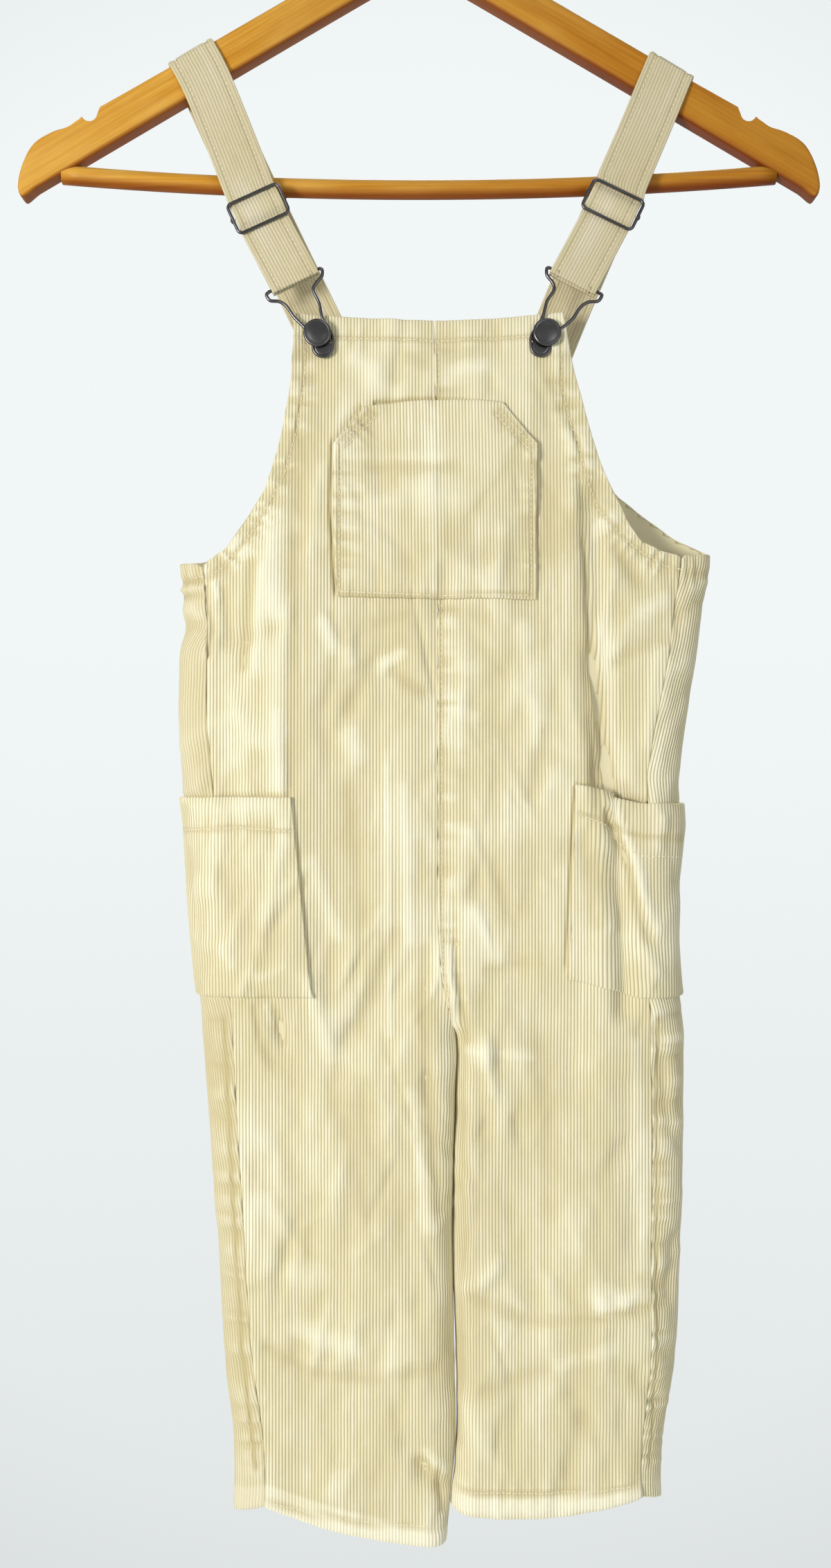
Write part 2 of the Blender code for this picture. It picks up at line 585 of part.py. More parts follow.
def strap_path(side, half):
    """Middle points and width directions of a strap, from the back over the arm, through the
    slider, round the clip's top wire and up behind itself."""
    data = SIDES[side]
    sign = data["sign"]
    slope = np.arctan(ARM_SLOPE)
    over = place(data["strap_over"], ARM_APEX + ARM_SLOPE * abs(data["strap_over"]))
    rise = np.array((sign * sin(slope), 0.0, cos(slope)))
    arm_lean = -sign * float(np.degrees(slope))
    path = []

    (seat_x, seat_drop, _), (end_x, end_drop, lean) = data["strap_back"][-2:]
    for x, drop in ((end_x, end_drop), (seat_x, seat_drop)):
        surface = half.points(half.way_at(x, drop, back=True), drop)[1]
        path.append((place(x, drop, surface + STRAP / 2 + STRAP_SEAT), lean))
    seat_y = path[-1][0][1]
    shoulder = over - ARM_EDGE * rise
    for x, drop, lean in reversed(data["strap_back"][:-2]):
        share = (drop + shoulder[2]) / (seat_drop + shoulder[2])
        path.append((place(x, drop, STRAP_Y + (seat_y - STRAP_Y) * share), lean))

    corner = ARM_THICK / 2 - ARM_EDGE
    turn = STRAP_Y - corner
    for angle in np.linspace(0.0, pi / 2, 4):
        path.append((over + (turn * sin(angle) - ARM_EDGE) * rise
                     + np.array((0.0, corner + turn * cos(angle), 0.0)), arm_lean))
    for angle in np.linspace(pi / 2, 0.0, 4):
        path.append((over + (turn * sin(angle) - ARM_EDGE) * rise
                     - np.array((0.0, corner + turn * cos(angle), 0.0)), arm_lean))

    slider_x, slider_drop, slider_lean = data["slider"]
    fold_x, fold_drop, fold_lean = data["strap_fold"]
    weave_start = SLIDER_WEAVE[0]
    for x, drop, lean in data["strap_front"]:
        share = (drop + shoulder[2]) / (slider_drop + weave_start[0] + shoulder[2])
        path.append((place(x, drop, -STRAP_Y + (weave_start[1] + STRAP_Y) * share), lean))
    down = np.cross(lean_vector(slider_lean), (0.0, 1.0, 0.0))
    down = down * -np.sign(down[2])
    slider = place(slider_x, slider_drop)
    for along, y in SLIDER_WEAVE:
        path.append((slider + along * down + np.array((0.0, y, 0.0)), slider_lean))

    fold = place(fold_x, fold_drop, CLIP_Y)
    fold_down = np.cross(lean_vector(fold_lean), (0.0, 1.0, 0.0))
    fold_down = fold_down * -np.sign(fold_down[2])
    turn = CLIP_WIRE + SEAM_GAP + STRAP / 2
    for angle in np.linspace(-pi / 2, pi / 2, 7):
        path.append((fold + turn * (cos(angle) * fold_down + sin(angle) * np.array((0.0, 1.0, 0.0))),
                     fold_lean))
    path.append((slider + STRAP_END * down + np.array((0.0, CLIP_Y + turn, 0.0)), slider_lean))
    return path


def strap(side, half):
    path = strap_path(side, half)
    centres = np.array([point for point, _ in path])
    widths = np.array([lean_vector(lean) for _, lean in path])
    tangents = np.gradient(centres, axis=0)
    normals = np.cross(widths, tangents)
    normals /= np.linalg.norm(normals, axis=1, keepdims=True)
    across = np.array((-0.5, 0.0, 0.5)) * STRAP_WIDTH
    grid = centres[:, None] + across[None, :, None] * widths[:, None]
    outer = grid + STRAP / 2 * normals[:, None]
    inner = grid - STRAP / 2 * normals[:, None]
    wall("strap_" + side, outer, inner, "corduroy")


# ---------------------------------------------------------------- wires and turned pieces

def tube(name, path, radius, sides, finish, closed=False):
    """A round wire along a path."""
    path = np.array(path)
    ahead = np.roll(path, -1, axis=0) - path
    behind = path - np.roll(path, 1, axis=0)
    if not closed:
        ahead[-1] = behind[-1]
        behind[0] = ahead[0]
    tangents = np.array([unit(unit(a) + unit(b)) for a, b in zip(ahead, behind)])
    side = unit(np.cross(tangents[0], (0.13, 0.97, 0.21)))
    points = []
    for point, tangent in zip(path, tangents):
        side = unit(side - np.dot(side, tangent) * tangent)
        other = np.cross(tangent, side)
        for step in range(sides):
            angle = 2 * pi * step / sides
            points.append(point + radius * (cos(angle) * side + sin(angle) * other))
    count = len(path)
    faces = []
    for ring in range(count if closed else count - 1):
        for step in range(sides):
            after = (ring + 1) % count
            a, b = ring * sides + step, ring * sides + (step + 1) % sides
            c, d = after * sides + (step + 1) % sides, after * sides + step
            faces.append((a, b, c, d))
    if not closed:
        faces.append(tuple(reversed(range(sides))))
        faces.append(tuple((count - 1) * sides + step for step in range(sides)))
    made = solid(name, points, faces, finish)
    face_out(made)
    made.data.shade_smooth()
    return made


def arc(centre, right, up, radius, start, end, count):
    """Points on a circle between two angles in degrees."""
    return [centre + radius * (cos(angle) * right + sin(angle) * up)
            for angle in np.radians(np.linspace(start, end, count))]


def eased(points, per_span):
    """A smooth curve through points."""
    points = np.array(points)
    padded = np.concatenate([[2 * points[0] - points[1]], points, [2 * points[-1] - points[-2]]])
    made = []
    for index in range(len(points) - 1):
        a, b, c, d = padded[index:index + 4]
        for t in np.linspace(0.0, 1.0, per_span + 1)[:-1]:
            made.append(0.5 * (2 * b + (c - a) * t + (2 * a - 5 * b + 4 * c - d) * t ** 2
                               + (3 * b - a - 3 * c + d) * t ** 3))
    return made + [points[-1]]


def slider(side):
    """A rounded rectangular wire frame and its middle bar."""
    x, drop, lean = SIDES[side]["slider"]
    centre = place(x, drop, SLIDER_Y)
    right = lean_vector(lean)
    up = np.cross((0.0, -1.0, 0.0), right)
    up = up * np.sign(up[2])
    path = []
    for corner, (u, v) in enumerate(((1, 1), (-1, 1), (-1, -1), (1, -1))):
        middle = (centre + u * (SLIDER_HALF_WIDTH - SLIDER_CORNER) * right
                  + v * (SLIDER_HALF_HEIGHT - SLIDER_CORNER) * up)
        path += arc(middle, right, up, SLIDER_CORNER, 90 * corner, 90 * corner + 90, 4)
    tube("slider_" + side, path, SLIDER_WIRE, 8, "black_nickel", closed=True)
    reach = SLIDER_HALF_WIDTH - SLIDER_WIRE - SEAM_GAP
    bar = place(x, drop, SLIDER_BAR_Y)
    tube("slider_bar_" + side, [bar - reach * right, bar, bar + reach * right], SLIDER_BAR, 8,
         "black_nickel")


def clip(side):
    """The wire that hangs in the strap's fold, runs out in two ears and closes round the plate."""
    data = SIDES[side]
    fold_x, fold_drop, lean = data["strap_fold"]
    fold = place(fold_x, fold_drop, CLIP_Y)
    across = lean_vector(lean)
    reach = STRAP_WIDTH / 2 + CLIP_OVERHANG
    outward = across * data["sign"]
    outer = [fold + reach * outward] + [place(x, drop, CLIP_Y) for x, drop in data["clip_outer"]]
    inner = [fold - reach * outward] + [place(x, drop, CLIP_Y) for x, drop in data["clip_inner"]]
    foot = place(*data["clip_foot"], CLIP_Y)
    up = np.array((0.0, 0.0, 1.0))
    loop = arc(foot, np.array((float(data["sign"]), 0.0, 0.0)), up, CLIP_FOOT_RADIUS, 0, -180, 11)
    path = eased(outer + loop + inner[::-1], 2)
    tube("clip_" + side, path, CLIP_WIRE, 7, "black_nickel", closed=True)

    button = place(*data["button"], CLIP_Y)
    towards = unit(button - foot)
    beside = np.cross(towards, (0.0, 1.0, 0.0))
    short = CLIP_FOOT_RADIUS - CLIP_WIRE - SEAM_GAP
    tall = np.linalg.norm(button - foot) - BUTTON_SHANK - SEAM_GAP
    rim = [foot + short * cos(angle) * beside
           + (tall if sin(angle) > 0 else short) * sin(angle) * towards
           for angle in np.linspace(0.0, 2 * pi, PLATE_SIDES, endpoint=False)]
    depth = np.array((0.0, PLATE_THICK / 2, 0.0))
    points = [point + depth for point in rim] + [point - depth for point in rim]
    count = len(rim)
    faces = [tuple(range(count)), tuple(reversed(range(count, 2 * count)))]
    faces += [(k, (k + 1) % count, (k + 1) % count + count, k + count) for k in range(count)]
    face_out(solid("clip_plate_" + side, points, faces, "black_nickel"))


def button(side, half):
    """A shank button turned about an axis that points forward from the bib."""
    x, drop = SIDES[side]["button"]
    surface = half.points(half.way_at(x, drop), drop)[1]
    foot = place(x, drop, surface - SEAM_GAP)
    steps = 20
    points = [foot]
    rings = BUTTON_PROFILE[1:-1]
    for radius, forward in rings:
        for step in range(steps):
            angle = 2 * pi * step / steps
            points.append(foot + np.array((radius * cos(angle), -forward, radius * sin(angle))))
    points.append(foot - np.array((0.0, BUTTON_PROFILE[-1][1], 0.0)))
    faces = []
    for step in range(steps):
        after = (step + 1) % steps
        faces.append((0, 1 + step, 1 + after))
        for ring in range(len(rings) - 1):
            a, b = 1 + ring * steps + step, 1 + ring * steps + after
            faces.append((a, a + steps, b + steps, b))
        last = 1 + (len(rings) - 1) * steps
        faces.append((len(points) - 1, last + after, last + step))
    face_out(solid("button_" + side, points, faces, "black_nickel"))


# ---------------------------------------------------------------- hanger

def arm_top(x):
    return ARM_APEX + ARM_SLOPE * hypot(x, ARM_TOP_ROUND)


def arm_underside(x):
    return ARM_APEX + ARM_DEEP + ARM_SLOPE * hypot(x, ARM_CROTCH_ROUND)


def arm_outline():
    """Half the arms' outline seen from the front, from the top middle round to the underside."""
    points = [(x, arm_top(x)) for x in (0.0, 6.0, 13.0, 22.0, 40.0, 90.0, NOTCH_X - NOTCH_RADIUS)]
    for angle in np.radians(np.linspace(200.0, 330.0, 6)):
        points.append((NOTCH_X + NOTCH_RADIUS * cos(angle),
                       arm_top(NOTCH_X) - NOTCH_RADIUS * sin(angle)))
    points += [(x, arm_top(x)) for x in (NOTCH_X + NOTCH_RADIUS + 1.0, 196.0)]
    points += list(ARM_TIP)
    points += [(x, arm_underside(x)) for x in (216.0, 90.0, 30.0, 12.0, 5.0, 0.0)]
    return points


def hanger_arms():
    right = arm_outline()
    left = [(-x, drop) for x, drop in reversed(right[1:-1])]
    shape = bmesh.new()
    corners = [shape.verts.new(place(x, drop, -ARM_THICK / 2) * MM) for x, drop in right + left]
    face = shape.faces.new(corners)
    made = bmesh.ops.extrude_face_region(shape, geom=[face])
    moved = [item for item in made["geom"] if isinstance(item, bmesh.types.BMVert)]
    bmesh.ops.translate(shape, verts=moved, vec=(0.0, ARM_THICK * MM, 0.0))
    rims = [edge for edge in shape.edges
            if abs(edge.verts[0].co.y - edge.verts[1].co.y) < MM]
    bmesh.ops.bevel(shape, geom=rims, offset=ARM_EDGE * MM, segments=2, profile=0.5,
                    affect="EDGES", clamp_overlap=True)
    mesh = bpy.data.meshes.new("hanger_arms")
    shape.to_mesh(mesh)
    shape.free()
    mesh.materials.append(material("honey_wood"))
    item = bpy.data.objects.new("hanger_arms", mesh)
    bpy.context.collection.objects.link(item)
    face_out(item)


def trouser_bar(side):
    """One half of a round bar that sags to its middle, cut off along the arm's underside."""
    sign = SIDES[side]["sign"]
    foot_apex = ARM_APEX + ARM_DEEP
    end = (BAR_DROP - foot_apex) / ARM_SLOPE
    points = []
    for span in range(BAR_SPANS + 1):
        share = span / BAR_SPANS
        middle = BAR_DROP + BAR_SAG * (1.0 - share ** 2)
        for step in range(BAR_SIDES):
            angle = 2 * pi * step / BAR_SIDES
            drop = middle + BAR_RADIUS * sin(angle)
            x = max(share * end, SEAM_GAP / 2)
            if span == BAR_SPANS:
                x = (drop - foot_apex) / ARM_SLOPE - BAR_CLEAR
            points.append(place(sign * x, drop, BAR_RADIUS * cos(angle)))
    last = BAR_SPANS * BAR_SIDES
    faces = [tuple(range(BAR_SIDES)), tuple(range(last, last + BAR_SIDES))]
    for span in range(BAR_SPANS):
        for step in range(BAR_SIDES):
            a, b = span * BAR_SIDES + step, span * BAR_SIDES + (step + 1) % BAR_SIDES
            faces.append((a, b, b + BAR_SIDES, a + BAR_SIDES))
    made = solid("trouser_bar_" + side, points, faces, "honey_wood")
    face_out(made)
    made.data.shade_smooth()


def hook():
    """A wire from the arms' top, bent out and over in an open circle."""
    centre = place(0.0, HOOK_INSIDE)
    right, up = np.array((1.0, 0.0, 0.0)), np.array((0.0, 0.0, 1.0))
    circle = arc(centre, right, up, HOOK_INSIDE + HOOK_WIRE, HOOK_START, HOOK_END, 22)
    start, one, two = (place(*point) for point in HOOK_BEND)
    bend = [(1 - t) ** 3 * start + 3 * (1 - t) ** 2 * t * one + 3 * (1 - t) * t ** 2 * two
            + t ** 3 * circle[0] for t in np.linspace(0.0, 1.0, 8)]
    foot = place(0.0, arm_top(0.0) - SEAM_GAP)
    tube("hanger_hook", [foot] + bend + circle[1:], HOOK_WIRE, 9, "chrome")


# ---------------------------------------------------------------- the whole

def main():
    clear_scene()
    halves = [Half("left"), Half("right")]
    fronts = [front_grid(half) for half in halves]
    backs = [back_grid(half) for half in halves]
    for half, front, back, gape in zip(halves, fronts, backs, (0.0, POCKET_GAPE)):
        panel("front_" + half.side, half, front[0], front[1])
        panel("back_" + half.side, half, back[0], back[1])
        top, foot = SIDE_POCKETS[half.side]
        side_pocket(half, front, back, top, foot, gape)
        strap(half.side, half)
        slider(half.side)
        clip(half.side)
        button(half.side, half)
        trouser_bar(half.side)
    bib_pocket(halves, fronts)
    hanger_arms()
    hook()


main()
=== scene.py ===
"""Visual model of a child's corduroy bib overalls on a wooden hanger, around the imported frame.

Sizes are in millimetres until a mesh is made. X runs to the viewer's right, the front faces -Y,
and a drop is a distance below the origin, the top of the inside of the hanger's hook.
"""

from math import cos, hypot, pi, radians, sin

import bmesh
import bpy
import numpy as np
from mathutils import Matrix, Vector

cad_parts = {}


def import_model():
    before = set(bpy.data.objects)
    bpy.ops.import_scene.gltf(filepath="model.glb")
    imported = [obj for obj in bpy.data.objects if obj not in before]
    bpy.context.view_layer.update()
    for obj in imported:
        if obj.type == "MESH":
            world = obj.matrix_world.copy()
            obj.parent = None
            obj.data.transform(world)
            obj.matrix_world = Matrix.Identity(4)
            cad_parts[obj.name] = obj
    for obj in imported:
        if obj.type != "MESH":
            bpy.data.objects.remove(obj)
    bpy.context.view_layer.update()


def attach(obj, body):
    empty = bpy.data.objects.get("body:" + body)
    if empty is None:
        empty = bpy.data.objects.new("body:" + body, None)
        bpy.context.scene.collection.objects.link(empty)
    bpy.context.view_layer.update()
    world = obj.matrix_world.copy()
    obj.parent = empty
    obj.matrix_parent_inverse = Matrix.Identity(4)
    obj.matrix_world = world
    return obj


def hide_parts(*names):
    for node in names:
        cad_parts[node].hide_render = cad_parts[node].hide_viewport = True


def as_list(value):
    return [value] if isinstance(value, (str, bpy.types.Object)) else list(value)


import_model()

MM = 0.001
RIGHT, UP = np.array((1.0, 0.0, 0.0)), np.array((0.0, 0.0, 1.0))

# For every random draw
SEEDS = {"front_left": 11, "front_right": 12, "back_left": 13, "back_right": 14, "bib_pocket": 3,
         "side_pocket": 5, "strap_left": 71, "strap_right": 72, "stitches": 4, "relief_front": 21,
         "relief_back": 34}
LAST = 1.001  # a grid is read only this near to its last sample

# Cloth
CLOTH = 1.8
SEAM_GAP = 0.3
SIDE_ROUND = 22.0  # how far in from the side fold the front and back become flat
INSEAM_ROUND = 14.0
PINCH_TOP = 671.0  # the front and back seams turn towards each other below this
CROTCH = 703.0
BIB_TOP = 303.7
BACK_TOP = 347.3
FAN_END = 445.0  # rows of the front that end on its armhole start above this
BACK_FAN_END = 451.1
LEVEL_END = 893.0  # rows slope towards the hem below this
POCKET_TOP = 348.5
POCKET_FOOT = 458.0
SIDE_POCKET_BACK = 50.0  # how far a side pocket reaches behind its side seam
SIDE_POCKETS = {"left": (567.9, 678.2), "right": (561.0, 669.0)}  # drops of mouth and foot
POCKET_GAPE = 3.2  # how far the slack mouth of the right side pocket stands off
POCKET_GAPE_DEPTH = 45.0

# How finely the form is worked out before the panels are cut from it
DROP_STEP = 2.0
DROPS = np.arange(296.0, 992.0, DROP_STEP)
SMOOTHING = 4.0  # standard deviation, along the drop, of the smoothing of the sections
ROUND_SAMPLES = 48  # points round each end of a face
FLAT_SAMPLES = 28  # points between its ends
FACE_SAMPLES = 160  # even steps that a face is then divided into
SLOPE_STEP = 0.6  # half the distance over which a normal is measured

# One row a level: the drop, the side folds' X, the centre seam's or the inseams' X, half the
# depth, and how far in from each side fold its side seam lies.
SECTIONS = (
    # drop, fold_left, fold_right, inner_left, inner_right, depth, seam_left, seam_right
    (303, -134.1, 163.3, 8.4, 8.4, 8, 14.2, 17.6),
    (347, -134.1, 163.3, 9.5, 9.5, 8.6, 14.2, 17.6),
    (395, -134.1, 163.3, 10.3, 10.3, 10.5, 14.2, 17.6),
    (439, -134.1, 163.3, 10.7, 10.7, 13.5, 14.2, 18.1),
    (449, -132.1, 161.4, 10.7, 10.7, 14, 14.2, 17.6),
    (464, -131.9, 158.6, 10.7, 10.7, 14.5, 13.7, 17.1),
    (474, -129.7, 157.4, 10.7, 10.7, 15, 13.7, 17.1),
    (484, -134.1, 156.3, 10.7, 10.7, 15.3, 16.7, 17.1),
    (525, -134.4, 149.7, 10.3, 10.3, 16, 17.2, 18.6),
    (556, -132.5, 145.4, 10.3, 10.3, 16.5, 18.2, 19.6),
    (587, -130.1, 146.9, 10.3, 10.3, 17, 18.2, 20.6),
    (617, -128.6, 143.4, 10.3, 10.3, 17, 18.2, 20.6),
    (648, -125.9, 143.1, 10.7, 10.7, 17, 18.2, 19.6),
    (663, -124.7, 144.6, 11.9, 11.9, 17, 18.2, 18.6),
    (677, -123.1, 145.7, 14.2, 14.2, 16.5, 18.2, 19.1),
    (687, -122, 147.7, 18, 18, 16, 18.2, 19.6),
    (703, -121.2, 148.5, 21.1, 21.1, 15.5, 18.2, 20.1),
    (713, -120.4, 148.5, 20.9, 21.3, 15.2, 18.2, 20.1),
    (723, -119.7, 148.5, 20.6, 21, 15, 17.7, 19.6),
    (752, -117.3, 148.5, 19.8, 20.2, 14.5, 17.2, 19.1),
    (778, -115.4, 147.7, 19.1, 19.5, 14, 16.7, 18.6),
    (816, -112.6, 146.9, 18.7, 19.1, 13.6, 16.2, 18.1),
    (862, -110.3, 145.4, 19.6, 20, 13.3, 16.2, 16.6),
    (893, -108, 142.7, 20.4, 20.8, 13, 17.2, 14.6),
    (921, -104.1, 137.6, 20.6, 21, 13, 17.7, 13.1),
    (944, -103.3, 136, 19.6, 20, 13, 18.2, 12.1),
    (962, -103.8, 136.4, 17.4, 17.8, 13, 18.2, 11.8),
    (990, -104.4, 136.8, 14.9, 15.6, 13, 18.2, 11.6),
)
SECTION_COLUMNS = ("drop", "fold_left", "fold_right", "inner_left", "inner_right", "depth",
                   "seam_left", "seam_right")

# Armhole edges, from the bib's corner down to the side seam or round to the side fold: X, drop.
ARMHOLES = {
    "front_left": ((-69.7, 304.0), (-70.1, 319.4), (-72.4, 342.7), (-76.2, 364.6), (-79.7, 378.3),
                   (-85.0, 396.0), (-94.6, 412.4), (-106.9, 430.1), (-119.9, 439.2)),
    "front_right": ((80.0, 303.7), (85.4, 325.9), (90.0, 342.7), (95.8, 364.6), (103.0, 387.9),
                    (109.9, 401.3), (118.3, 419.3), (123.7, 426.2), (136.0, 432.4), (145.2, 434.3)),
    "back_left": ((-63.0, 347.3), (-66.1, 355.2), (-72.8, 373.0), (-81.5, 392.6), (-94.4, 412.3),
                  (-108.2, 427.2), (-121.6, 434.7), (-134.1, 437.5)),
    "back_right": ((89.3, 347.3), (91.7, 351.3), (97.2, 369.0), (104.3, 386.7), (112.9, 396.9),
                   (131.4, 411.1), (145.2, 421.0), (156.6, 427.2), (163.3, 432.1)),
}

# Where a row's outer end lies against its centre, and how far its middle sags: centre, end, sag.
ROW_ENDS = {
    "left": ((445, 439.2, 0), (505, 505, 0), (893, 893, 0),
             (972.8, 948.3, 5), (984.3, 961.3, 5.7)),
    "right": ((445, 434.3, 0), (505, 505, 0), (561, 571.4, 0), (669, 679, 0),
              (712, 712, 0), (893, 893, 0), (953, 947, 6), (964.3, 957.1, 7.5)),
}

# Drops, at the centre, of the hems' stitches and of their feet
HEMS = {"left": (972.8, 984.3), "right": (953.0, 964.3)}

# The line that the pockets' edges follow: drop, X on the left, X on the right.
POCKET_LINE = (
    (303.7, -24.9, 42.1), (348.5, -30.3, 46.3), (371, -47.5, 65.9), (408, -48.3, 65.1),
    (457.5, -45.2, 64.7), (565, -70.5, 86.6), (674, -59.7, 82.3), (703, -47.9, 76.6),
    (778, -44, 78.5), (990, -40.2, 74.7),
)

# Folds of the hanging cloth, as x0, drop0, x1, drop1 of the two ends, the width across, and the
# height, which is negative for a trough.
FRONT_FOLDS = (
    (88, 395, 104, 690, 9, 2.2), (95, 400, 114, 690, 7, -4.5), (-70, 350, -76, 690, 22, 3),
    (-105, 455, -105, 575, 10, -2.2), (10.5, 455, 13.5, 675, 9, -2), (-12, 488, -22, 512, 7, -2),
    (-2, 655, -55, 730, 13, -2.2), (44, 662, 95, 730, 13, -2.2), (-95, 832, -24, 858, 10, 2.4),
    (-8, 925, 12, 957, 7, -2.4), (78, 858, 132, 858, 10, 2), (-82, 676, -74, 712, 7, -1.8),
    (105, 690, 100, 930, 15, 2.4), (-66, 700, -52, 940, 18, -2.4), (60, 690, 55, 930, 14, -1.8),
)
BACK_FOLDS = (
    (-60, 420, -52, 660, 20, 2.6), (84, 430, 76, 650, 18, -2.6), (10.5, 450, 13, 670, 10, -2),
    (-60, 720, -48, 930, 16, 2.2), (84, 720, 80, 930, 16, -2.2), (30, 520, 70, 545, 11, 2),
)

# Straps
STRAP_WIDTH = 28.0
STRAP = 1.8
STRAP_SEAT = 0.45  # room between the sewn end of a strap and the back it lies on
STRAP_Y = 7.2  # the strap's middle plane beside the hanger's arm

# Hanger
ARM_THICK = 12.0
ARM_SLOPE = 0.59  # drop for each millimetre out from the middle
ARM_APEX = 76.7  # drop where the straight upper edges would meet
ARM_DEEP = 24.2  # between the upper and lower edges, measured straight down
ARM_TOP_ROUND = 16.0
ARM_CROTCH_ROUND = 6.0
ARM_EDGE = 2.4
ARM_TIP = ((205.0, 195.5), (215.5, 202.0), (222.0, 213.5), (224.6, 226.0), (221.5, 232.3))
NOTCH_X = 184.3
NOTCH_RADIUS = 4.4
BAR_RADIUS = 5.2
BAR_DROP = 218.1  # at its ends
BAR_SAG = 8.4
HOOK_INSIDE = 20.0
HOOK_WIRE = 1.75
HOOK_BEND = ((0.0, 62.0), (0.0, 50.0), (8.0, 42.8))  # stem's top and the two handles of its bend
HOOK_START, HOOK_END = -45.0, 205.0  # angles on the hook's circle

# Sliders, clips and buttons
SLIDER_WIRE = 0.9
SLIDER_HALF_WIDTH = 15.3
SLIDER_HALF_HEIGHT = 8.7
SLIDER_CORNER = 2.6
SLIDER_Y = -13.9
SLIDER_BAR = 0.8
SLIDER_BAR_Y = -12.6
CLIP_WIRE = 0.95
CLIP_Y = -10.85
CLIP_FOOT_RADIUS = 5.3
CLIP_OVERHANG = 1.5  # how far the top wire passes the strap's edge
PLATE_THICK = 0.9
BUTTON_SHANK = 2.0

# The front strap's path across the slider: how far past the slider's middle, and Y.
SLIDER_WEAVE = ((-11.3, -11.6), (-8.7, -11.75), (-6.4, -12.3), (-3.3, -14.2), (0.0, -14.75),
                (3.3, -14.2), (6.4, -12.3), (8.7, -11.75), (11.3, -11.75))
STRAP_END = 4.0  # the strap's turned-back end lies this far below the slider's middle

# Each side's strap and fittings. Strap rows: X, drop, lean of the strap's width in degrees.
SIDES = {
    "left": {
        "sign": -1,
        "strap_over": -127.5,
        "strap_back": ((-95.7, 220.3, 25.9), (-56.7, 300.5, 25.9), (-33.9, 347.3, 25.9),
                       (-21.9, 372.0, 25.9)),
        "strap_front": ((-117.7, 170.9, 24.5), (-103.6, 205.9, 22.8)),
        "slider": (-88.9, 242.4, 24.5),
        "strap_fold": (-69.2, 281.0, 25.0),
        "clip_outer": ((-84.6, 289.2), (-82.6, 292.3), (-77.5, 292.9), (-73.4, 295.6),
                       (-69.4, 301.4), (-63.6, 307.2), (-59.7, 311.8)),
        "clip_inner": ((-53.7, 275.2), (-53.9, 278.8), (-57.0, 282.6), (-58.6, 286.4),
                       (-55.4, 293.6), (-53.6, 302.0), (-50.4, 307.4), (-48.0, 312.6)),
        "clip_foot": (-53.4, 318.0),
        "button": (-56.3, 310.9),
    },
    "right": {
        "sign": 1,
        "strap_over": 141.0,
        "strap_back": ((86.6, 283.4, -21.7), (61.2, 347.3, -21.7), (51.4, 372.0, -21.7)),
        "strap_front": ((126.9, 193.3, -23.5), (114.0, 224.0, -23.5)),
        "slider": (107.4, 240.1, -26.0),
        "strap_fold": (86.2, 281.0, -27.0),
        "clip_outer": ((101.6, 289.4), (99.4, 292.6), (94.0, 293.2), (89.6, 296.2),
                       (85.4, 302.4), (79.4, 307.6), (74.3, 311.8)),
        "clip_inner": ((71.0, 274.6), (71.2, 278.4), (74.4, 282.6), (74.9, 286.6),
                       (71.2, 292.6), (68.6, 301.6), (65.2, 307.0), (62.4, 312.4)),
        "clip_foot": (67.6, 317.6),
        "button": (70.9, 310.6),
    },
}

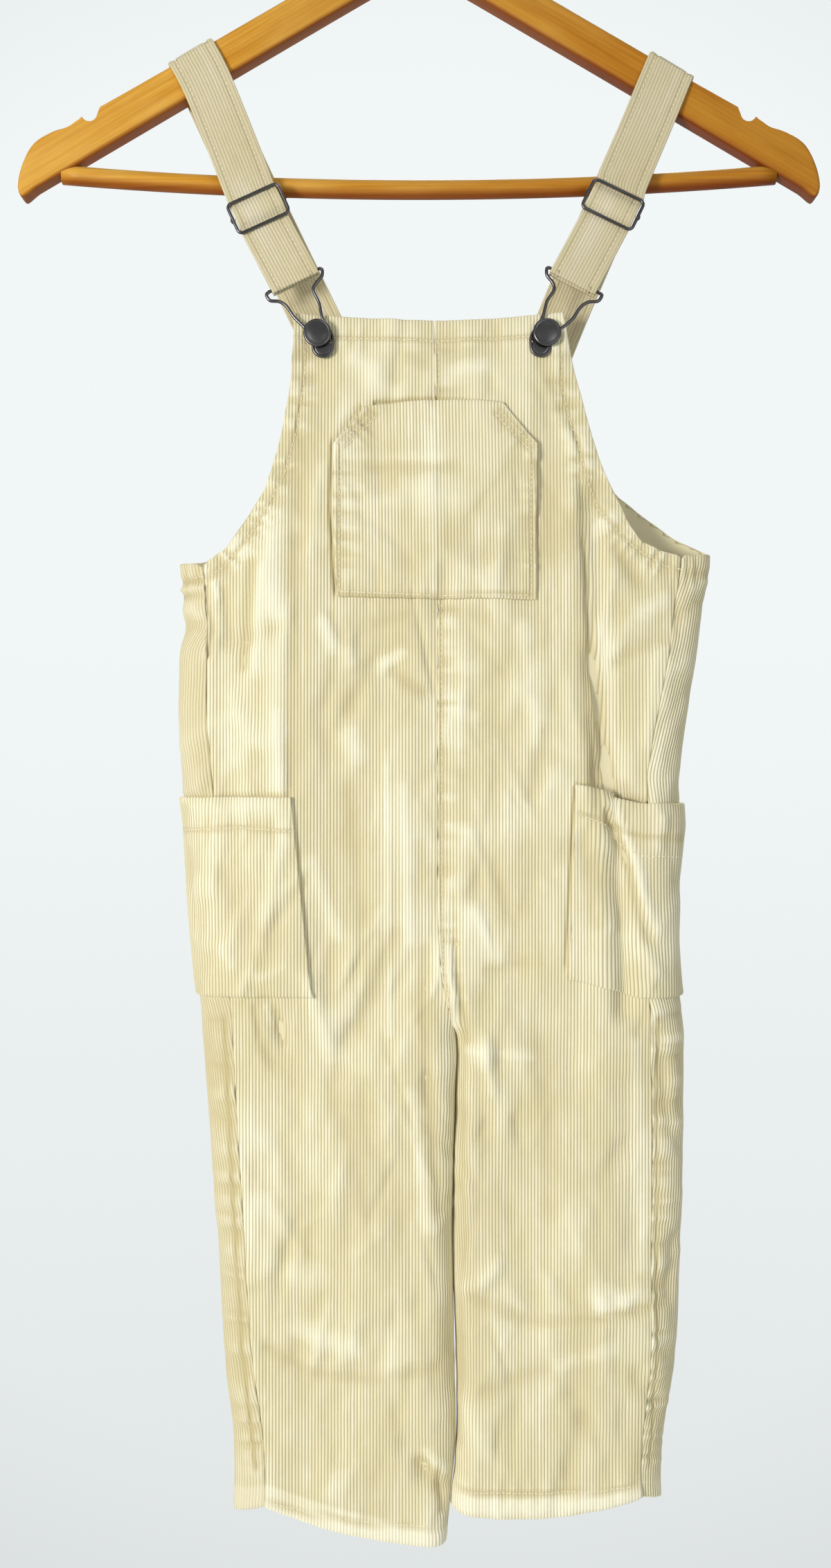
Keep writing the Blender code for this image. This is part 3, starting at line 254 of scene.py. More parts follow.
# Lines of topstitching, seen from the front, or from behind on a back: places (X, drop), how
# much the cloth puckers along them and how long its waves are.
SEWN = {
    "front_left": (
        (((-69.5, 311.6), (8, 313.6)), 0.25, 8),
        (((-62.8, 312), (-64.3, 337.4), (-67.8, 363), (-74.3, 387.9), (-83.9, 407.1),
          (-94.6, 424.7), (-105.7, 438.5), (-115.3, 445.4), (-124, 447)), 0.95, 6),
        (((-108, 948), (-90, 957), (-60, 965.5), (-25, 971), (17.5, 973)), 0.2, 9),
    ),
    "front_right": (
        (((8.6, 313.6), (80, 311.4)), 0.25, 8),
        (((78.9, 312), (80, 340.4), (85.4, 363), (88.9, 372.6), (93.5, 391.8),
          (100.3, 408.2), (114.1, 424.7), (124.9, 433.1), (136, 439.6), (150, 443)), 0.95, 6),
        (((10.6, 313), (11.6, 360), (12.4, 458), (12.6, 560), (12.9, 640), (14.5, 668),
          (19.5, 690)), 0.75, 7),
        (((20.7, 953.5), (60, 954.5), (100, 953), (127, 949)), 0.35, 9),
    ),
    "back_left": (
        (((-69, 355.6), (9, 355.6)), 0.25, 8),
        (((-55, 356), (-63.5, 377), (-73, 398.5), (-87.5, 420.5), (-104, 436),
          (-120, 444.5), (-133, 446.5)), 0.5, 7),
        (((-106, 951), (-90, 957), (-60, 965.5), (-25, 971), (17.5, 973)), 0.2, 9),
    ),
    "back_right": (
        (((10, 355.6), (90, 355.6)), 0.25, 8),
        (((82, 356), (88.5, 372.5), (97.5, 392.5), (107, 404), (125.5, 418.5),
          (141, 429.5), (162, 440.5)), 0.5, 7),
        (((12, 356), (12.6, 458), (12.6, 560), (12.9, 640), (14.5, 668),
          (19.5, 690)), 0.5, 8),
        (((20.7, 953.5), (60, 954.5), (100, 953), (132, 947.5)), 0.2, 9),
    ),
    "bib_pocket": (
        (((-43.6, 374), (-43.8, 400), (-44, 430), (-43.6, 455.6)), 0.5, 6),
        (((62.9, 374), (62.6, 400), (62.4, 430), (62.2, 455.6)), 0.5, 6),
        (((-43.6, 455.6), (10, 456.6), (62.2, 455.6)), 0.4, 7),
        (((-44.6, 372), (-26.6, 353.2)), 0.4, 6),
        (((-42, 374.6), (-23.6, 354.6)), 0.4, 6),
        (((63.6, 372.6), (44.2, 352.6)), 0.4, 6),
        (((61, 374.6), (41.6, 354.6)), 0.4, 6),
    ),
    "side_pocket_left": (
        (((-140, 587), (-97.7, 584.7), (-70, 587)), 0.35, 8),
    ),
    "side_pocket_right": (
        (((88.5, 577.1), (101.5, 580.6), (111.4, 586), (123, 590), (146, 591)), 0.35, 8),
    ),
    "strip_left": (
        (((-134, 447.5), (-120, 447)), 0.6, 5),
        (((-108, 690), (-104.5, 755), (-98.5, 874), (-90, 940)), 0.8, 7),
    ),
    "strip_right": (
        (((144, 442.4), (163, 443.4)), 0.6, 5),
        (((133, 690), (132, 755), (132, 880), (129, 940)), 0.8, 7),
    ),
}

# Small creases in the same columns as the folds, for each piece that carries them.
CREASES = {
    "front_left": (
        (-20, 494, -7, 487, 3.5, 1.5), (-17, 498, 5, 511, 3.6, -1.7),
        (-23, 491, -12, 505, 4.5, 1.2), (-54, 468, -46, 488, 3.5, 0.9),
        (-49, 464, -40, 484, 3.2, -0.9), (-25, 472, -3, 466, 3, -0.8),
        (-92, 436, -97, 498, 3, -1.7), (-86, 440, -90, 500, 4, 0.9), (-64, 366, -67, 432, 5, -0.6),
        (-67, 422, -70, 568, 5, -1.2), (-76, 408, -77.5, 566, 6.5, 0.8),
        (-38, 560, -30, 640, 5, -1), (-8, 560, -4, 650, 4, 0.9), (-60, 600, -44, 648, 5, 0.9),
        (-12, 640, -34, 700, 4.5, -1.2), (-80, 684, -74, 706, 2.6, -1.4),
        (-117, 447, -117.5, 462, 1.7, -1.8), (-113, 448, -110, 458, 2.2, 1.4),
        (-116.5, 462, -113.5, 474, 2, -1.6), (-113.5, 474, -117, 492, 2, -1.7),
        (-108, 452, -104, 480, 3, -1), (-48, 720, -30, 800, 6, -1.1), (4, 720, 12, 800, 3.5, -1.2),
        (-4, 730, 6, 810, 4, 1), (-86, 872, -60, 888, 3, -1.1), (-60, 888, -27, 892, 3.2, -1.1),
        (-27, 892, 14, 884, 3.6, -0.9), (-80, 826, -52, 838, 8, 1), (-72, 862, -30, 876, 6, 0.9),
        (-104, 957, -88, 964.5, 4.4, 1.3), (-88, 964.5, -58, 972, 4.4, 1.3),
        (-58, 972, -24, 977.5, 4.4, 1.3), (-24, 977.5, 14, 979.5, 4.4, 1.3),
        (3, 650, 4.5, 740, 3.5, -1), (-17, 550, -15.5, 700, 2, 0.8),
        (-91, 682, -88, 700, 2.2, -1.3), (-85, 681, -79, 694, 2.4, 1.2),
        (-89, 700, -80, 718, 3, -0.9), (-115, 569, -70.5, 567.2, 1.1, -1.7),
        (-25, 348.6, 9, 347, 1.2, -2.4), (-31.5, 349.6, -48.2, 370.5, 1.1, -1.6),
        (-48.4, 370.5, -49.2, 408, 1.1, -1.6), (-49.2, 408, -46.2, 457, 1.1, -1.6),
        (-2, 935, 14, 954, 3, -1.8), (2, 930, 16, 944, 3, 1.2), (11, 940, 13, 966, 2.2, -1.6),
        (-86, 402, -78, 470, 5, 1), (-40, 322, -20, 332, 5, 0.9), (-8, 322, 6, 327, 3.5, -0.9),
        (-30, 335, -8, 345, 5.5, 0.8), (-50, 520, -30, 548, 6, 0.7), (-78, 520, -70, 640, 4, 0.8),
        (-90, 540, -84, 640, 4.5, -0.7),
    ),
    "front_right": (
        (88.5, 366, 91.5, 425, 2.6, -0.9), (91.5, 425, 95, 480, 2, -2),
        (95, 480, 101.5, 530, 1.9, -2.5), (101.5, 530, 107, 572, 1.9, -2.5),
        (86, 410, 90, 480, 6, -1), (90, 480, 100, 560, 6.5, -1.6), (102, 470, 112, 560, 6, 0.9),
        (107.5, 427, 123, 452, 3.6, -1.3), (112, 424, 127, 446, 3, 0.8),
        (107, 495, 126, 483, 3.4, -1.2), (126, 483, 139, 480, 3.2, -0.9),
        (120, 468, 138, 458, 4.5, 1.1), (69, 528, 62, 570, 4, -1.1), (58, 470, 66, 540, 5, 0.9),
        (40, 600, 52, 640, 4, -1), (30, 628, 46, 662, 4, 1.1), (36, 664, 62, 658, 3, -0.9),
        (26, 708, 66, 712, 3, 0.8), (68, 700, 74, 800, 6, -1), (120, 700, 124, 830, 5, 0.9),
        (26, 844, 62, 859, 3.5, -1), (62, 859, 97, 856, 3.2, -1), (97, 856, 130, 850, 2.4, -1.5),
        (96, 850, 126, 842, 4.2, 1), (104, 838, 116, 850, 3.4, 0.8), (95, 840, 108, 856, 4.5, 0.9),
        (32, 900, 74, 884, 5.5, -1.1), (74, 884, 110, 872, 4.5, 0.9), (30, 740, 34, 900, 8, -1),
        (24.5, 700, 23.5, 790, 2.4, -1.3), (23.5, 790, 22.5, 930, 2.4, -0.9),
        (22, 960, 60, 961, 4.4, 1.3), (60, 961, 100, 959.5, 4.4, 1.3),
        (100, 959.5, 126, 955.5, 4.4, 1.3), (9, 347, 46, 350, 1.2, -2.4),
        (86.5, 560.5, 103, 563.2, 1.1, -1.7), (101, 569.2, 131, 571.5, 1.1, -1.7),
        (86, 562, 84.6, 587, 1, -1.4), (84.6, 587, 80.9, 662, 1, -1.3),
        (19, 620, 20.3, 650, 2.4, -0.7), (20.3, 646, 21.2, 664, 2.2, -1.6),
        (21.2, 664, 24.6, 690, 2.2, -2.2), (24.6, 690, 25.6, 704, 2.2, -1.8),
        (17, 650, 21.6, 696, 3, 1.6), (14, 462, 40, 469, 3.5, -0.8), (14, 492, 34, 498, 4, 0.7),
        (16, 520, 34, 524, 3.5, 0.6), (15, 552, 30, 556, 3.5, -0.6), (15, 585, 32, 588, 3.5, 0.6),
        (18, 331, 40, 327, 4.5, 0.9), (12, 322, 30, 320, 3.5, -0.8), (70, 320, 74, 440, 7, -1),
    ),
    "back_left": (
        (-20, 392, -6, 398, 5, 0.8), (-58, 420, -34, 436, 6, -0.9), (-96, 470, -84, 560, 6, 0.9),
        (-30, 500, 4, 506, 5, -0.9), (-60, 600, -20, 622, 8, 1), (-88, 690, -58, 740, 8, 0.9),
        (-70, 845, -30, 856, 6, -0.8),
    ),
    "back_right": (
        (14, 420, 36, 426, 4, 0.7), (15, 470, 34, 474, 4, -0.7), (60, 440, 88, 462, 7, 0.9),
        (100, 480, 96, 600, 6, -0.9), (15, 560, 33, 564, 4, 0.6), (70, 640, 110, 656, 8, 0.9),
        (60, 720, 84, 770, 8, -0.8), (80, 850, 122, 860, 6, 0.8),
    ),
    "strip_left": (
        (-134, 569.5, -115, 569.2, 1.1, -1.7), (-118, 692, -106, 693, 2.2, -1.1),
        (-117, 716, -105, 718, 2.2, -1.2), (-117, 729, -104, 730, 2, -1),
        (-116, 745, -103, 747, 2.2, -1.2), (-134, 447.5, -117, 449.5, 1.9, -1.5),
        (-134, 451.5, -119, 453.5, 2.2, 1.2), (-134, 455.5, -118, 457, 2, -1.5),
        (-130, 460, -119, 470, 2.4, 1.1), (-118, 490, -113, 487, 3, 1.2),
        (-134, 466, -124, 462, 3, 0.9), (-128, 474, -119, 472, 2.6, -0.9),
    ),
    "strip_right": (
        (131, 571.5, 147, 572, 1.1, -1.7), (131, 691, 147, 689, 2.4, -1),
        (131, 703, 147, 702, 2.4, 1), (131, 714, 147, 713, 2.2, -1),
        (131, 727, 147, 726, 2.4, 1.1), (131, 739, 147, 738, 2.2, -1.1),
        (131, 751, 147, 750, 2.4, 1), (150, 452, 162, 447, 2.8, 0.9),
        (138, 470, 158, 458, 3.2, -1), (136, 500, 150, 492, 3, 0.8),
    ),
    "bib_pocket": (
        (-42, 384.2, 22, 384.8, 3.4, -0.9), (-40, 380, 16, 380.6, 4, 0.6),
        (-42, 385.6, -30, 384, 2.2, 0.7), (-43, 397.2, -30, 396, 2.2, 0.7),
        (-43, 407.2, -31, 407.6, 2.2, 0.6), (-43, 420.1, -32, 419.6, 2.2, 0.6),
        (-43, 430.4, -31, 430.8, 2.2, 0.6), (8, 352, 9, 455, 2.6, 0.35),
        (-20, 398, 30, 404, 9, 0.6), (20, 430, 54, 436, 7, -0.6),
    ),
    "side_pocket_left": (
        (-126, 575, -76, 573, 5, 0.6), (-110, 606, -84, 650, 6, -0.7),
        (-90, 668, -72, 660, 4, 0.8),
    ),
    "side_pocket_right": (
        (103, 575, 108, 589, 2, -1.8), (108, 589, 115.3, 607, 2.2, -1.8),
        (115.3, 607, 119.4, 625.6, 2.2, -1.6), (119.4, 625.6, 127.4, 648, 2.6, -1.2),
        (106, 569, 112.5, 586, 3.2, 1.5), (112.5, 586, 120, 605, 3.2, 1.5),
        (120, 605, 124, 624, 3.4, 1.3), (124, 624, 132, 645, 4, 0.9), (96, 600, 112, 640, 7, -0.9),
        (90, 588, 97, 640, 4, -0.7),
    ),
}

# Corduroy
PITCH = 1.8  # from one wale to the next
WALE_PHASES = (0.0, 0.2, 0.5, 0.8)
WALE_SHAPE = (0.0, 0.66, 1.0, 0.66)
PILE = 0.42  # from the groove to the top of a wale
TURN = CLOTH / 2  # radius of a turned edge
TURN_ANGLES = (60.0, 120.0, 180.0)
EDGE_ROUND = 0.4  # how round the edges across the wales are, to those along them
EDGE_FADE = 2.2  # the pile dies away this near to a sewn edge
EDGE_PILE = 0.25  # what is left of it at the edge
WALE_SNAP = 0.12  # a column this near an edge, in wales, moves onto it
PROBE = 0.4  # half the distance over which an edge's direction is measured
WELD = 0.001  # points nearer than this are one
LINING_STEP = 16  # the plain inside has one column for this many of the outside
LINING_MARK = -1.0  # stored as the pile's height on the plain inside
ROW_STEP = 3.05  # between a panel's rows
# Panels have more rows at these drops: stitches and pocket tops lie level there.
FINE_LEVELS = {"front_left": (313.0, 347.6, 569.0), "front_right": (313.0, 348.0, 562.0, 570.4),
               "back_left": (355.6,), "back_right": (355.6,)}
FINE_OFFSETS = (-1.2, -0.4, 0.4, 1.2)  # the added rows, from such a drop
CLOSEST_ROWS = 0.3
POCKET_ROWS = 50
SEAM_HALF = 0.02  # half the gap between two cloths at a seam
# The X of the wale that w is measured from
GRAIN = {"front_left": -45.0, "front_right": 75.0, "back_left": -50.0, "back_right": 80.0}

# Sewing
STITCH = 2.5
STITCH_GAP = 0.55
STITCH_ENDS = (0.5, 0.3)  # the first and last middles from a line's ends, in stitches
THREAD = 0.27
# Rings of a stitch: how far along it, how far up in thread widths, and how thick
STITCH_FORM = ((-0.5, -0.45, 0.55), (-0.3, 0.16, 1.0), (0.3, 0.16, 1.0), (0.5, -0.45, 0.55))
STITCH_SIDES = 5
STITCH_TURN = 0.09  # how unevenly they lie, in radians
STITCH_LIFT = 0.35  # how far above the middle of the pile they lie, as a share of it
LINE_PROBE = 0.8  # half the distance over which a thread's or strap's direction is measured
SEW_SINK = 0.62
SEW_GROOVE = 0.95  # how far a line of stitches draws the pile down to either side
SEAM_SHADE, SEAM_SHADE_REACH = 0.6, 1.6  # how much painted shade darkens the pile beside stitches, and how far
PUCKER = 1.7
PUCKER_REACH = 7.5
PUCKER_KNOTS = 400  # random values that a row of puckers runs through
GROOVE_CALM = 0.6  # how much of the pucker the stitches themselves hold down
TONE_MOST = 3.0  # the most height that is painted on the pile as shade or highlight
# The soft hanging is also painted on the pile as shade and highlight, by this share.
SOFT_SHADE = 0.36  # how much the soft hanging colours the pile, to the listed creases
HEM_PALE = {"left": 1.0, "right": 0.5}  # the turned-up hems catch the light
POCKET_LIFT = 0.35  # a pocket stands off this much more than its own thickness
STRIP_SHADE = {"left": 0.45, "right": 0.0}  # painted shade on the side strips, on the left one only
STRAP_SEWN = 9.8  # from the middle of a strap to its stitches
STRAP_GROOVE = 0.9  # how far its stitches draw the pile down to either side
STRAP_PUCKER, STRAP_PUCKER_REACH, STRAP_PUCKER_LENGTH = 0.16, 3.0, 7.0
STRAP_SPAN_STEPS = 8  # along each span of its path
STRAP_ROW = 2.0  # between a strap's rows
STRAP_SEAM = (6.0, 3.0, 1.5)  # its stitches' distance from either end, and their line's step
STRAP_CLOSEST_ROWS = 0.35
STRAP_IN_FRONT = 0.6  # at this share of its length a strap is in front of the hanger
# The bib's top rises by this at its centre, by this much more this far out, and this far down
TOP_RISE, TOP_ARCH, TOP_ARCH_OUT, TOP_ARCH_DEEP = 1.6, 4.0, 70.0, 30.0
# The bib pocket's top dips by this much this far out from its middle's w, after a rise
POCKET_DIP, POCKET_DIP_OUT, POCKET_MIDDLE, POCKET_RISE, POCKET_DIP_DEEP = 2.6, 40.0, 8.0, 1.2, 30.0
POCKET_TILT = (0.02, 400.0, 58.0)  # its foot's slope, and the drops from which and over which
HEM_STEP = 2.0  # how gradually a hem turns pale

# Small creases: the area that each of them has, and the box of X and drop that they lie in
CREASE_ROOM = 300.0
CREASE_STEEP = 0.17  # their usual height, to their width
CREASE_BOX = (-136.0, 165.0, 303.0, 985.0)
CREASE_LEAN = 32.0  # how far they usually lean from upright, in degrees
CREASE_HALF_LENGTHS = (6.0, 30.0)
CREASE_WIDTHS = (1.8, 5.5)
# Both faces' relief: the box it is worked out in and its steps across and down
RELIEF_BOX = (-144.0, 173.0, 295.0, 997.0)
RELIEF_STEPS = (0.6, 0.8)
RELIEF_TURN = 8.0  # the depth over which the front's gives way to the back's
RELIEF_AT_FOLD, RELIEF_WHOLE = 0.3, 9.0  # its share at the side folds, and where it is whole
# Soft hanging: the size of its waves across and down, and their height
HANGING = ((26.0, 80.0, 1.35), (13.0, 34.0, 0.72), (6.5, 14.0, 0.3))
HANGING_LEAN = 0.12  # how far a wave shifts across for each wave down
HANGING_KNOTS = 64
HANGING_OFFSET = 20.0  # waves from the noise's edge to the middle of the garment
# How far round the front of the left leg its inseam turns: drop and distance
INSEAM_TURN = ((700.0, 0.0), (712.0, 3.0), (725.0, 6.0), (755.0, 6.2), (816.0, 1.6), (874.0, 1.7),
               (893.0, 3.2), (920.0, 5.4), (943.0, 4.6), (975.0, 2.6))

# Fittings
SLIDER_BEAD = (1.75, 1.15)  # radius across and half the length
SLIDER_BEAD_OUT = 0.4  # past the middle of the frame's wire
SLIDER_BAR_SHORT = 1.2  # how far inside it the bar ends
NOTCH_SIDES = (1.6, 1.4)  # how far before and after a notch the next points lie
NOTCH_ARC = (192.0, 336.0)
ARM_SHOULDER = 196.0  # the X of the last point on the arms' straight upper edge
ARM_LOWER = (214.0, 205.0)  # the X of the first two points under the arms' ends
NOTCH_EDGE = 0.45  # radius of the arms' edges at a notch
NOTCH_ROOM, NOTCH_RATE = 9.0, 0.25  # that far from it they begin to be rounder, at this rate
LEAST_EDGE = 0.4
EDGE_EASE = 0.06  # how much an edge's radius may differ from its neighbours' mean
# Profile of the keyhole plate: how far in from its edge, and Y as a share of its thickness
PLATE_PROFILE = ((0.35, 0.5), (0.0, 0.22), (0.0, -0.22), (0.35, -0.5), (1.5, -0.5))
PLATE_SIDES = 40
PLATE_LAP = 0.4  # how much of the clip's wire shows outside it
PLATE_NUB = (4.4, 2.6)  # out from the middle of the plate's foot, and up
NUB_SIZE = (1.15, 1.5)
BAR_LET_IN = 1.5  # at each end, into the arms
GRAIN_APART = {"right_arm": 300.0, "bar": 700.0}  # so that no two pieces have the same grain
THINNEST = 0.02  # radius that stands for a point
# Turned outline of a button: radius and how far forward of its foot.
BUTTON_FACE = ((2.0, 0.0), (4.0, 0.1), (4.2, 0.5), (4.0, 0.8), (2.2, 1.0), (2.0, 1.6), (2.0, 4.0),
               (2.4, 4.4), (6.6, 4.4), (7.3, 4.6), (7.7, 5.0), (7.75, 5.3), (7.5, 5.7), (7.0, 6.0),
               (6.7, 6.0), (6.4, 5.85), (6.1, 5.85), (5.0, 6.1), (3.5, 6.35), (1.8, 6.5),
               (0.0, 6.55))

# How fast the finishes' patterns change, per millimetre across and along the cloth or the grain
BY_WALE = (3.71, 0.012)  # per wale instead of per millimetre across
CLOUD = (0.035, 0.02)
FUZZ = (2.6, 1.5)
FUZZ_DEEP = 0.18  # how far it moves the line between groove and top
PILE_ROWS = (0.6, 2.2)
WEAVE = 9.0
STREAKS = (0.012, 0.55)
PORES = (0.09, 4.0)
BLOTS = (0.02, 0.06)
WAVE = 4.0  # how far the wood's grain strays
STRAP_TINTED = 0.8

# Colours, in screen values from 0 to 255
TOP_BRIGHT = (250, 245, 222)
TOP_SHADED = (224, 214, 172)
TOP_WARM = (234, 226, 189)
# The grooves' tan: the cloth's own colour there, deepened by painted shade
GROOVE = (166, 152, 108)
# Colours painted as shade into troughs and beside stitches, and as highlight onto ridges and hems
PAINTED_SHADE_COLOUR = (190, 175, 128)
PAINTED_HIGHLIGHT_COLOUR = (251, 247, 227)
# Shares of painted shade in troughs and painted highlight on ridges
TROUGH_SHADE = 0.55
RIDGE_HIGHLIGHT = 0.5
# Share of the painted shade that darkens the pile beside stitches and on the side strips
SEWN_SHADE = 0.8
STRAP_TINT = (222, 217, 213)
STRAP_FLAT = 0.5  # how much paler the grooves of the straps are
SHEEN = (255, 250, 230)
INSIDE = (234, 225, 190)
INSIDE_DARK = (214, 203, 165)
THREAD_BRIGHT = (247, 242, 220)
THREAD_SHADED = (222, 212, 180)
WOOD_LIGHT = (216, 158, 56)
WOOD_DARK = (190, 128, 28)
# WOOD_PALE is both the wood's pale blots and the painted highlight on faces turned up
WOOD_PALE = (228, 184, 96)
WOOD_PORE = (150, 88, 16)
WOOD_TINT = (206, 176, 40)
# painted shade on faces turned down
WOOD_UNDER_SHADE = (176, 120, 60)
# The metals' colours, already linear, and how rough they are
NICKEL = ((0.13, 0.125, 0.127), 0.3)
CHROME = ((0.62, 0.62, 0.64), 0.16)

# Room
CAMERA = (-0.0019, -0.814, -0.5608)
LENS = 33.2
PICTURE = (1200, 2265)
ROOM = (0.93, 0.97, 0.97)
ROOM_STRENGTH = (0.4, 0.9, 0.34, 0.9)  # from and to these Y directions, at these strengths
ROOM_RISE = (-0.6, 0.1, 0.88, 1.06)  # the same by the Z direction
FLOOR_RADIUS = 620.0
FLOOR_DROP = 1350.0
FLOOR_SIDES = 96
FLOOR_TONE = (0.80, 0.81, 0.81)
FLOOR_ROUGH = 0.7
# Lights: name, place, what it faces, size, power and colour
LIGHTS = (
    ("key", (-1.05, -1.25, -0.5), (0.0, 0.0, -0.8), (0.4, 0.5), 22.0, (1.0, 0.985, 0.95)),
    ("fill", (0.9, -1.5, -0.6), (0.0, 0.0, -0.6), (0.8, 1.0), 6.0, (0.97, 0.985, 1.0)),
    ("above", (0.3, -0.7, 0.9), (0.0, 0.0, -0.6), (0.5, 0.4), 1.6, (1.0, 1.0, 1.0)),
    ("behind", (0.5, 1.5, 0.7), (0.0, 0.0, -0.55), (1.2, 1.2), 26.0, (0.98, 0.99, 1.0)),
)


# ---------------------------------------------------------------- form

def place(x, drop, y=0.0):
    return np.array((x, y, -drop))


def unit(vector):
    return vector / np.linalg.norm(vector)


def section_values(column):
    """A column of SECTIONS at every one of DROPS, with its corners eased."""
    index = SECTION_COLUMNS.index(column)
    drops = [row[0] for row in SECTIONS]
    reach = int(4 * SMOOTHING / DROP_STEP)
    offsets = np.arange(-reach, reach + 1) * DROP_STEP
    weights = np.exp(-0.5 * (offsets / SMOOTHING) ** 2)
    spread = np.concatenate([DROPS[0] + offsets[:reach], DROPS, DROPS[-1] + offsets[reach + 1:]])
    values = np.interp(spread, drops, [row[index] for row in SECTIONS])
    return np.convolve(values, weights / weights.sum(), "valid")


def smoothstep(value):
    value = np.clip(value, 0.0, 1.0)
    return value * value * (3.0 - 2.0 * value)


def bell(distance, reach):
    return np.exp(-(distance / reach) ** 2)


def fold_height(folds, x, drop):
    """How far the folds raise the cloth at a point seen from the front."""
    height = np.zeros_like(x)
    for x0, drop0, x1, drop1, width, rise in folds:
        length = hypot(x1 - x0, drop1 - drop0)
        along = ((x - x0) * (x1 - x0) + (drop - drop0) * (drop1 - drop0)) / length
        across = ((x - x0) * (drop1 - drop0) - (drop - drop0) * (x1 - x0)) / length
        start = smoothstep(along / (2.0 * width) + 0.5)
        end = smoothstep((length - along) / (2.0 * width) + 0.5)
        height += rise * start * end * bell(across, width)
    return height


class Half:
    """One side of the garment as a surface, from the centre front (0) round the side fold (1) to
    the centre back (2). A place on it is (way, drop), and way runs evenly along each face."""

    def __init__(self, side):
        self.side, self.sign = side, SIDES[side]["sign"]
        self.fold = section_values("fold_" + side)
        self.inner = section_values("inner_" + side)
        self.depth = section_values("depth")
        self.seam = section_values("seam_" + side)
        self.width = self.sign * (self.fold - self.inner)
        self.faces = np.array([self.face(row) for row in range(len(DROPS))])

    def face(self, row):
        """Even samples along one face, from the centre to the side fold: distance out from the
        centre, distance forward of the middle plane, and how squarely it faces forward."""
        width, depth = self.width[row], self.depth[row]
        quarter = np.linspace(0.0, pi / 2, ROUND_SAMPLES)
        inner = INSEAM_ROUND * (1.0 - np.cos(quarter))
        flat = np.linspace(INSEAM_ROUND, width - SIDE_ROUND, FLAT_SAMPLES + 2)[1:-1]
        outer = width - SIDE_ROUND * (1.0 - np.sin(quarter))
        out = np.concatenate([inner, flat, outer])
        pinch = smoothstep((DROPS[row] - PINCH_TOP) / (CROTCH - PINCH_TOP))
        beyond = np.ones(FLAT_SAMPLES + ROUND_SAMPLES)
        near = np.concatenate([np.sin(quarter), beyond])
        far = np.concatenate([beyond, np.cos(quarter)])
        squareness = far * (1.0 - pinch + pinch * near)
        forward = depth * squareness
        way = np.concatenate([[0.0], np.cumsum(np.hypot(np.diff(out), np.diff(forward)))])
        even = np.linspace(0.0, way[-1], FACE_SAMPLES + 1)
        return np.stack([np.interp(even, way, out), np.interp(even, way, forward),
                         np.interp(even, way, squareness), even])

    def sample(self, way, drop):
        """Blend of the four nearest samples of the faces."""
        way, drop = np.broadcast_arrays(np.asarray(way, float), np.asarray(drop, float))
        place_on = np.clip(np.where(way <= 1.0, way, 2.0 - way), 0.0, 1.0) * FACE_SAMPLES
        row_on = np.clip((drop - DROPS[0]) / DROP_STEP, 0.0, len(DROPS) - LAST)
        column = np.minimum(place_on.astype(int), FACE_SAMPLES - 1)
        row = row_on.astype(int)
        u, v = place_on - column, row_on - row
        grid = self.faces
        value = ((1 - u) * (1 - v))[..., None] * grid[row, :, column]
        value = value + (u * (1 - v))[..., None] * grid[row, :, column + 1]
        value = value + ((1 - u) * v)[..., None] * grid[row + 1, :, column]
        return value + (u * v)[..., None] * grid[row + 1, :, column + 1]

    def points(self, way, drop):
        """The cloth's outer surface in millimetres."""
        way, drop = np.broadcast_arrays(np.asarray(way, float), np.asarray(drop, float))
        value = self.sample(way, drop)
        inner = np.interp(drop, DROPS, self.inner)
        x = inner + self.sign * (value[..., 0] + SEAM_GAP / 2)
        front = way <= 1.0
        folds = np.where(front, fold_height(FRONT_FOLDS, x, drop), fold_height(BACK_FOLDS, x, drop))
        forward = value[..., 1] + folds * np.minimum(value[..., 2], 1.0)
        forward = np.maximum(forward, 0.0)
        return np.stack([x, np.where(front, -forward, forward), -drop], axis=-1)

    def apart(self, points, way):
        """Points near the inseam kept on their own panel's side of the middle plane."""
        y = points[..., 1]
        y = np.where(way < 0.5, np.minimum(y, -SEAM_GAP / 2), y)
        points[..., 1] = np.where(way > 1.5, np.maximum(y, SEAM_GAP / 2), y)
        return points

    def normals(self, way, drop):
        step = SLOPE_STEP / self.length(drop)
        after = self.points(np.clip(way + step, 0.0, 2.0), drop)
        along = after - self.points(np.clip(way - step, 0.0, 2.0), drop)
        down = self.points(way, drop + SLOPE_STEP) - self.points(way, drop - SLOPE_STEP)
        normal = np.cross(down, along) * self.sign
        return normal / np.linalg.norm(normal, axis=-1, keepdims=True)

    def way_at(self, x, drop, back=False):
        """The way at an X on the front face or the back face."""
        out = self.sign * (x - np.interp(drop, DROPS, self.inner)) - SEAM_GAP / 2
        row = int(np.clip(round((drop - DROPS[0]) / DROP_STEP), 0, len(DROPS) - 1))
        way = np.interp(out, self.faces[row, 0], np.linspace(0.0, 1.0, FACE_SAMPLES + 1))
        return 2.0 - way if back else way

    def length(self, drop):
        """Length of one face, from the centre to the side fold."""
        return np.interp(drop, DROPS, self.faces[:, 3, -1])


def run_along(points):
    """How far along a line each of its points lies."""
    steps = np.linalg.norm(np.diff(points, axis=0), axis=1)
    return np.concatenate([[0.0], np.cumsum(steps)])


def spaced(points, fractions):
    """Points along a line at fractions of its length."""
    points = np.array(points)
    lengths = run_along(points)
    at = np.asarray(fractions) * lengths[-1]
    return np.stack([np.interp(at, lengths, points[:, k]) for k in range(points.shape[1])], axis=-1)


def lean_vector(lean):
    """Unit vector across a strap that leans by so many degrees, in the plane of the front."""
    return np.array((cos(radians(lean)), 0.0, sin(radians(lean))))


def strap_down(lean):
    """Unit vector down along a strap of that lean."""
    down = np.cross(lean_vector(lean), (0.0, 1.0, 0.0))
    return down * -np.sign(down[2])


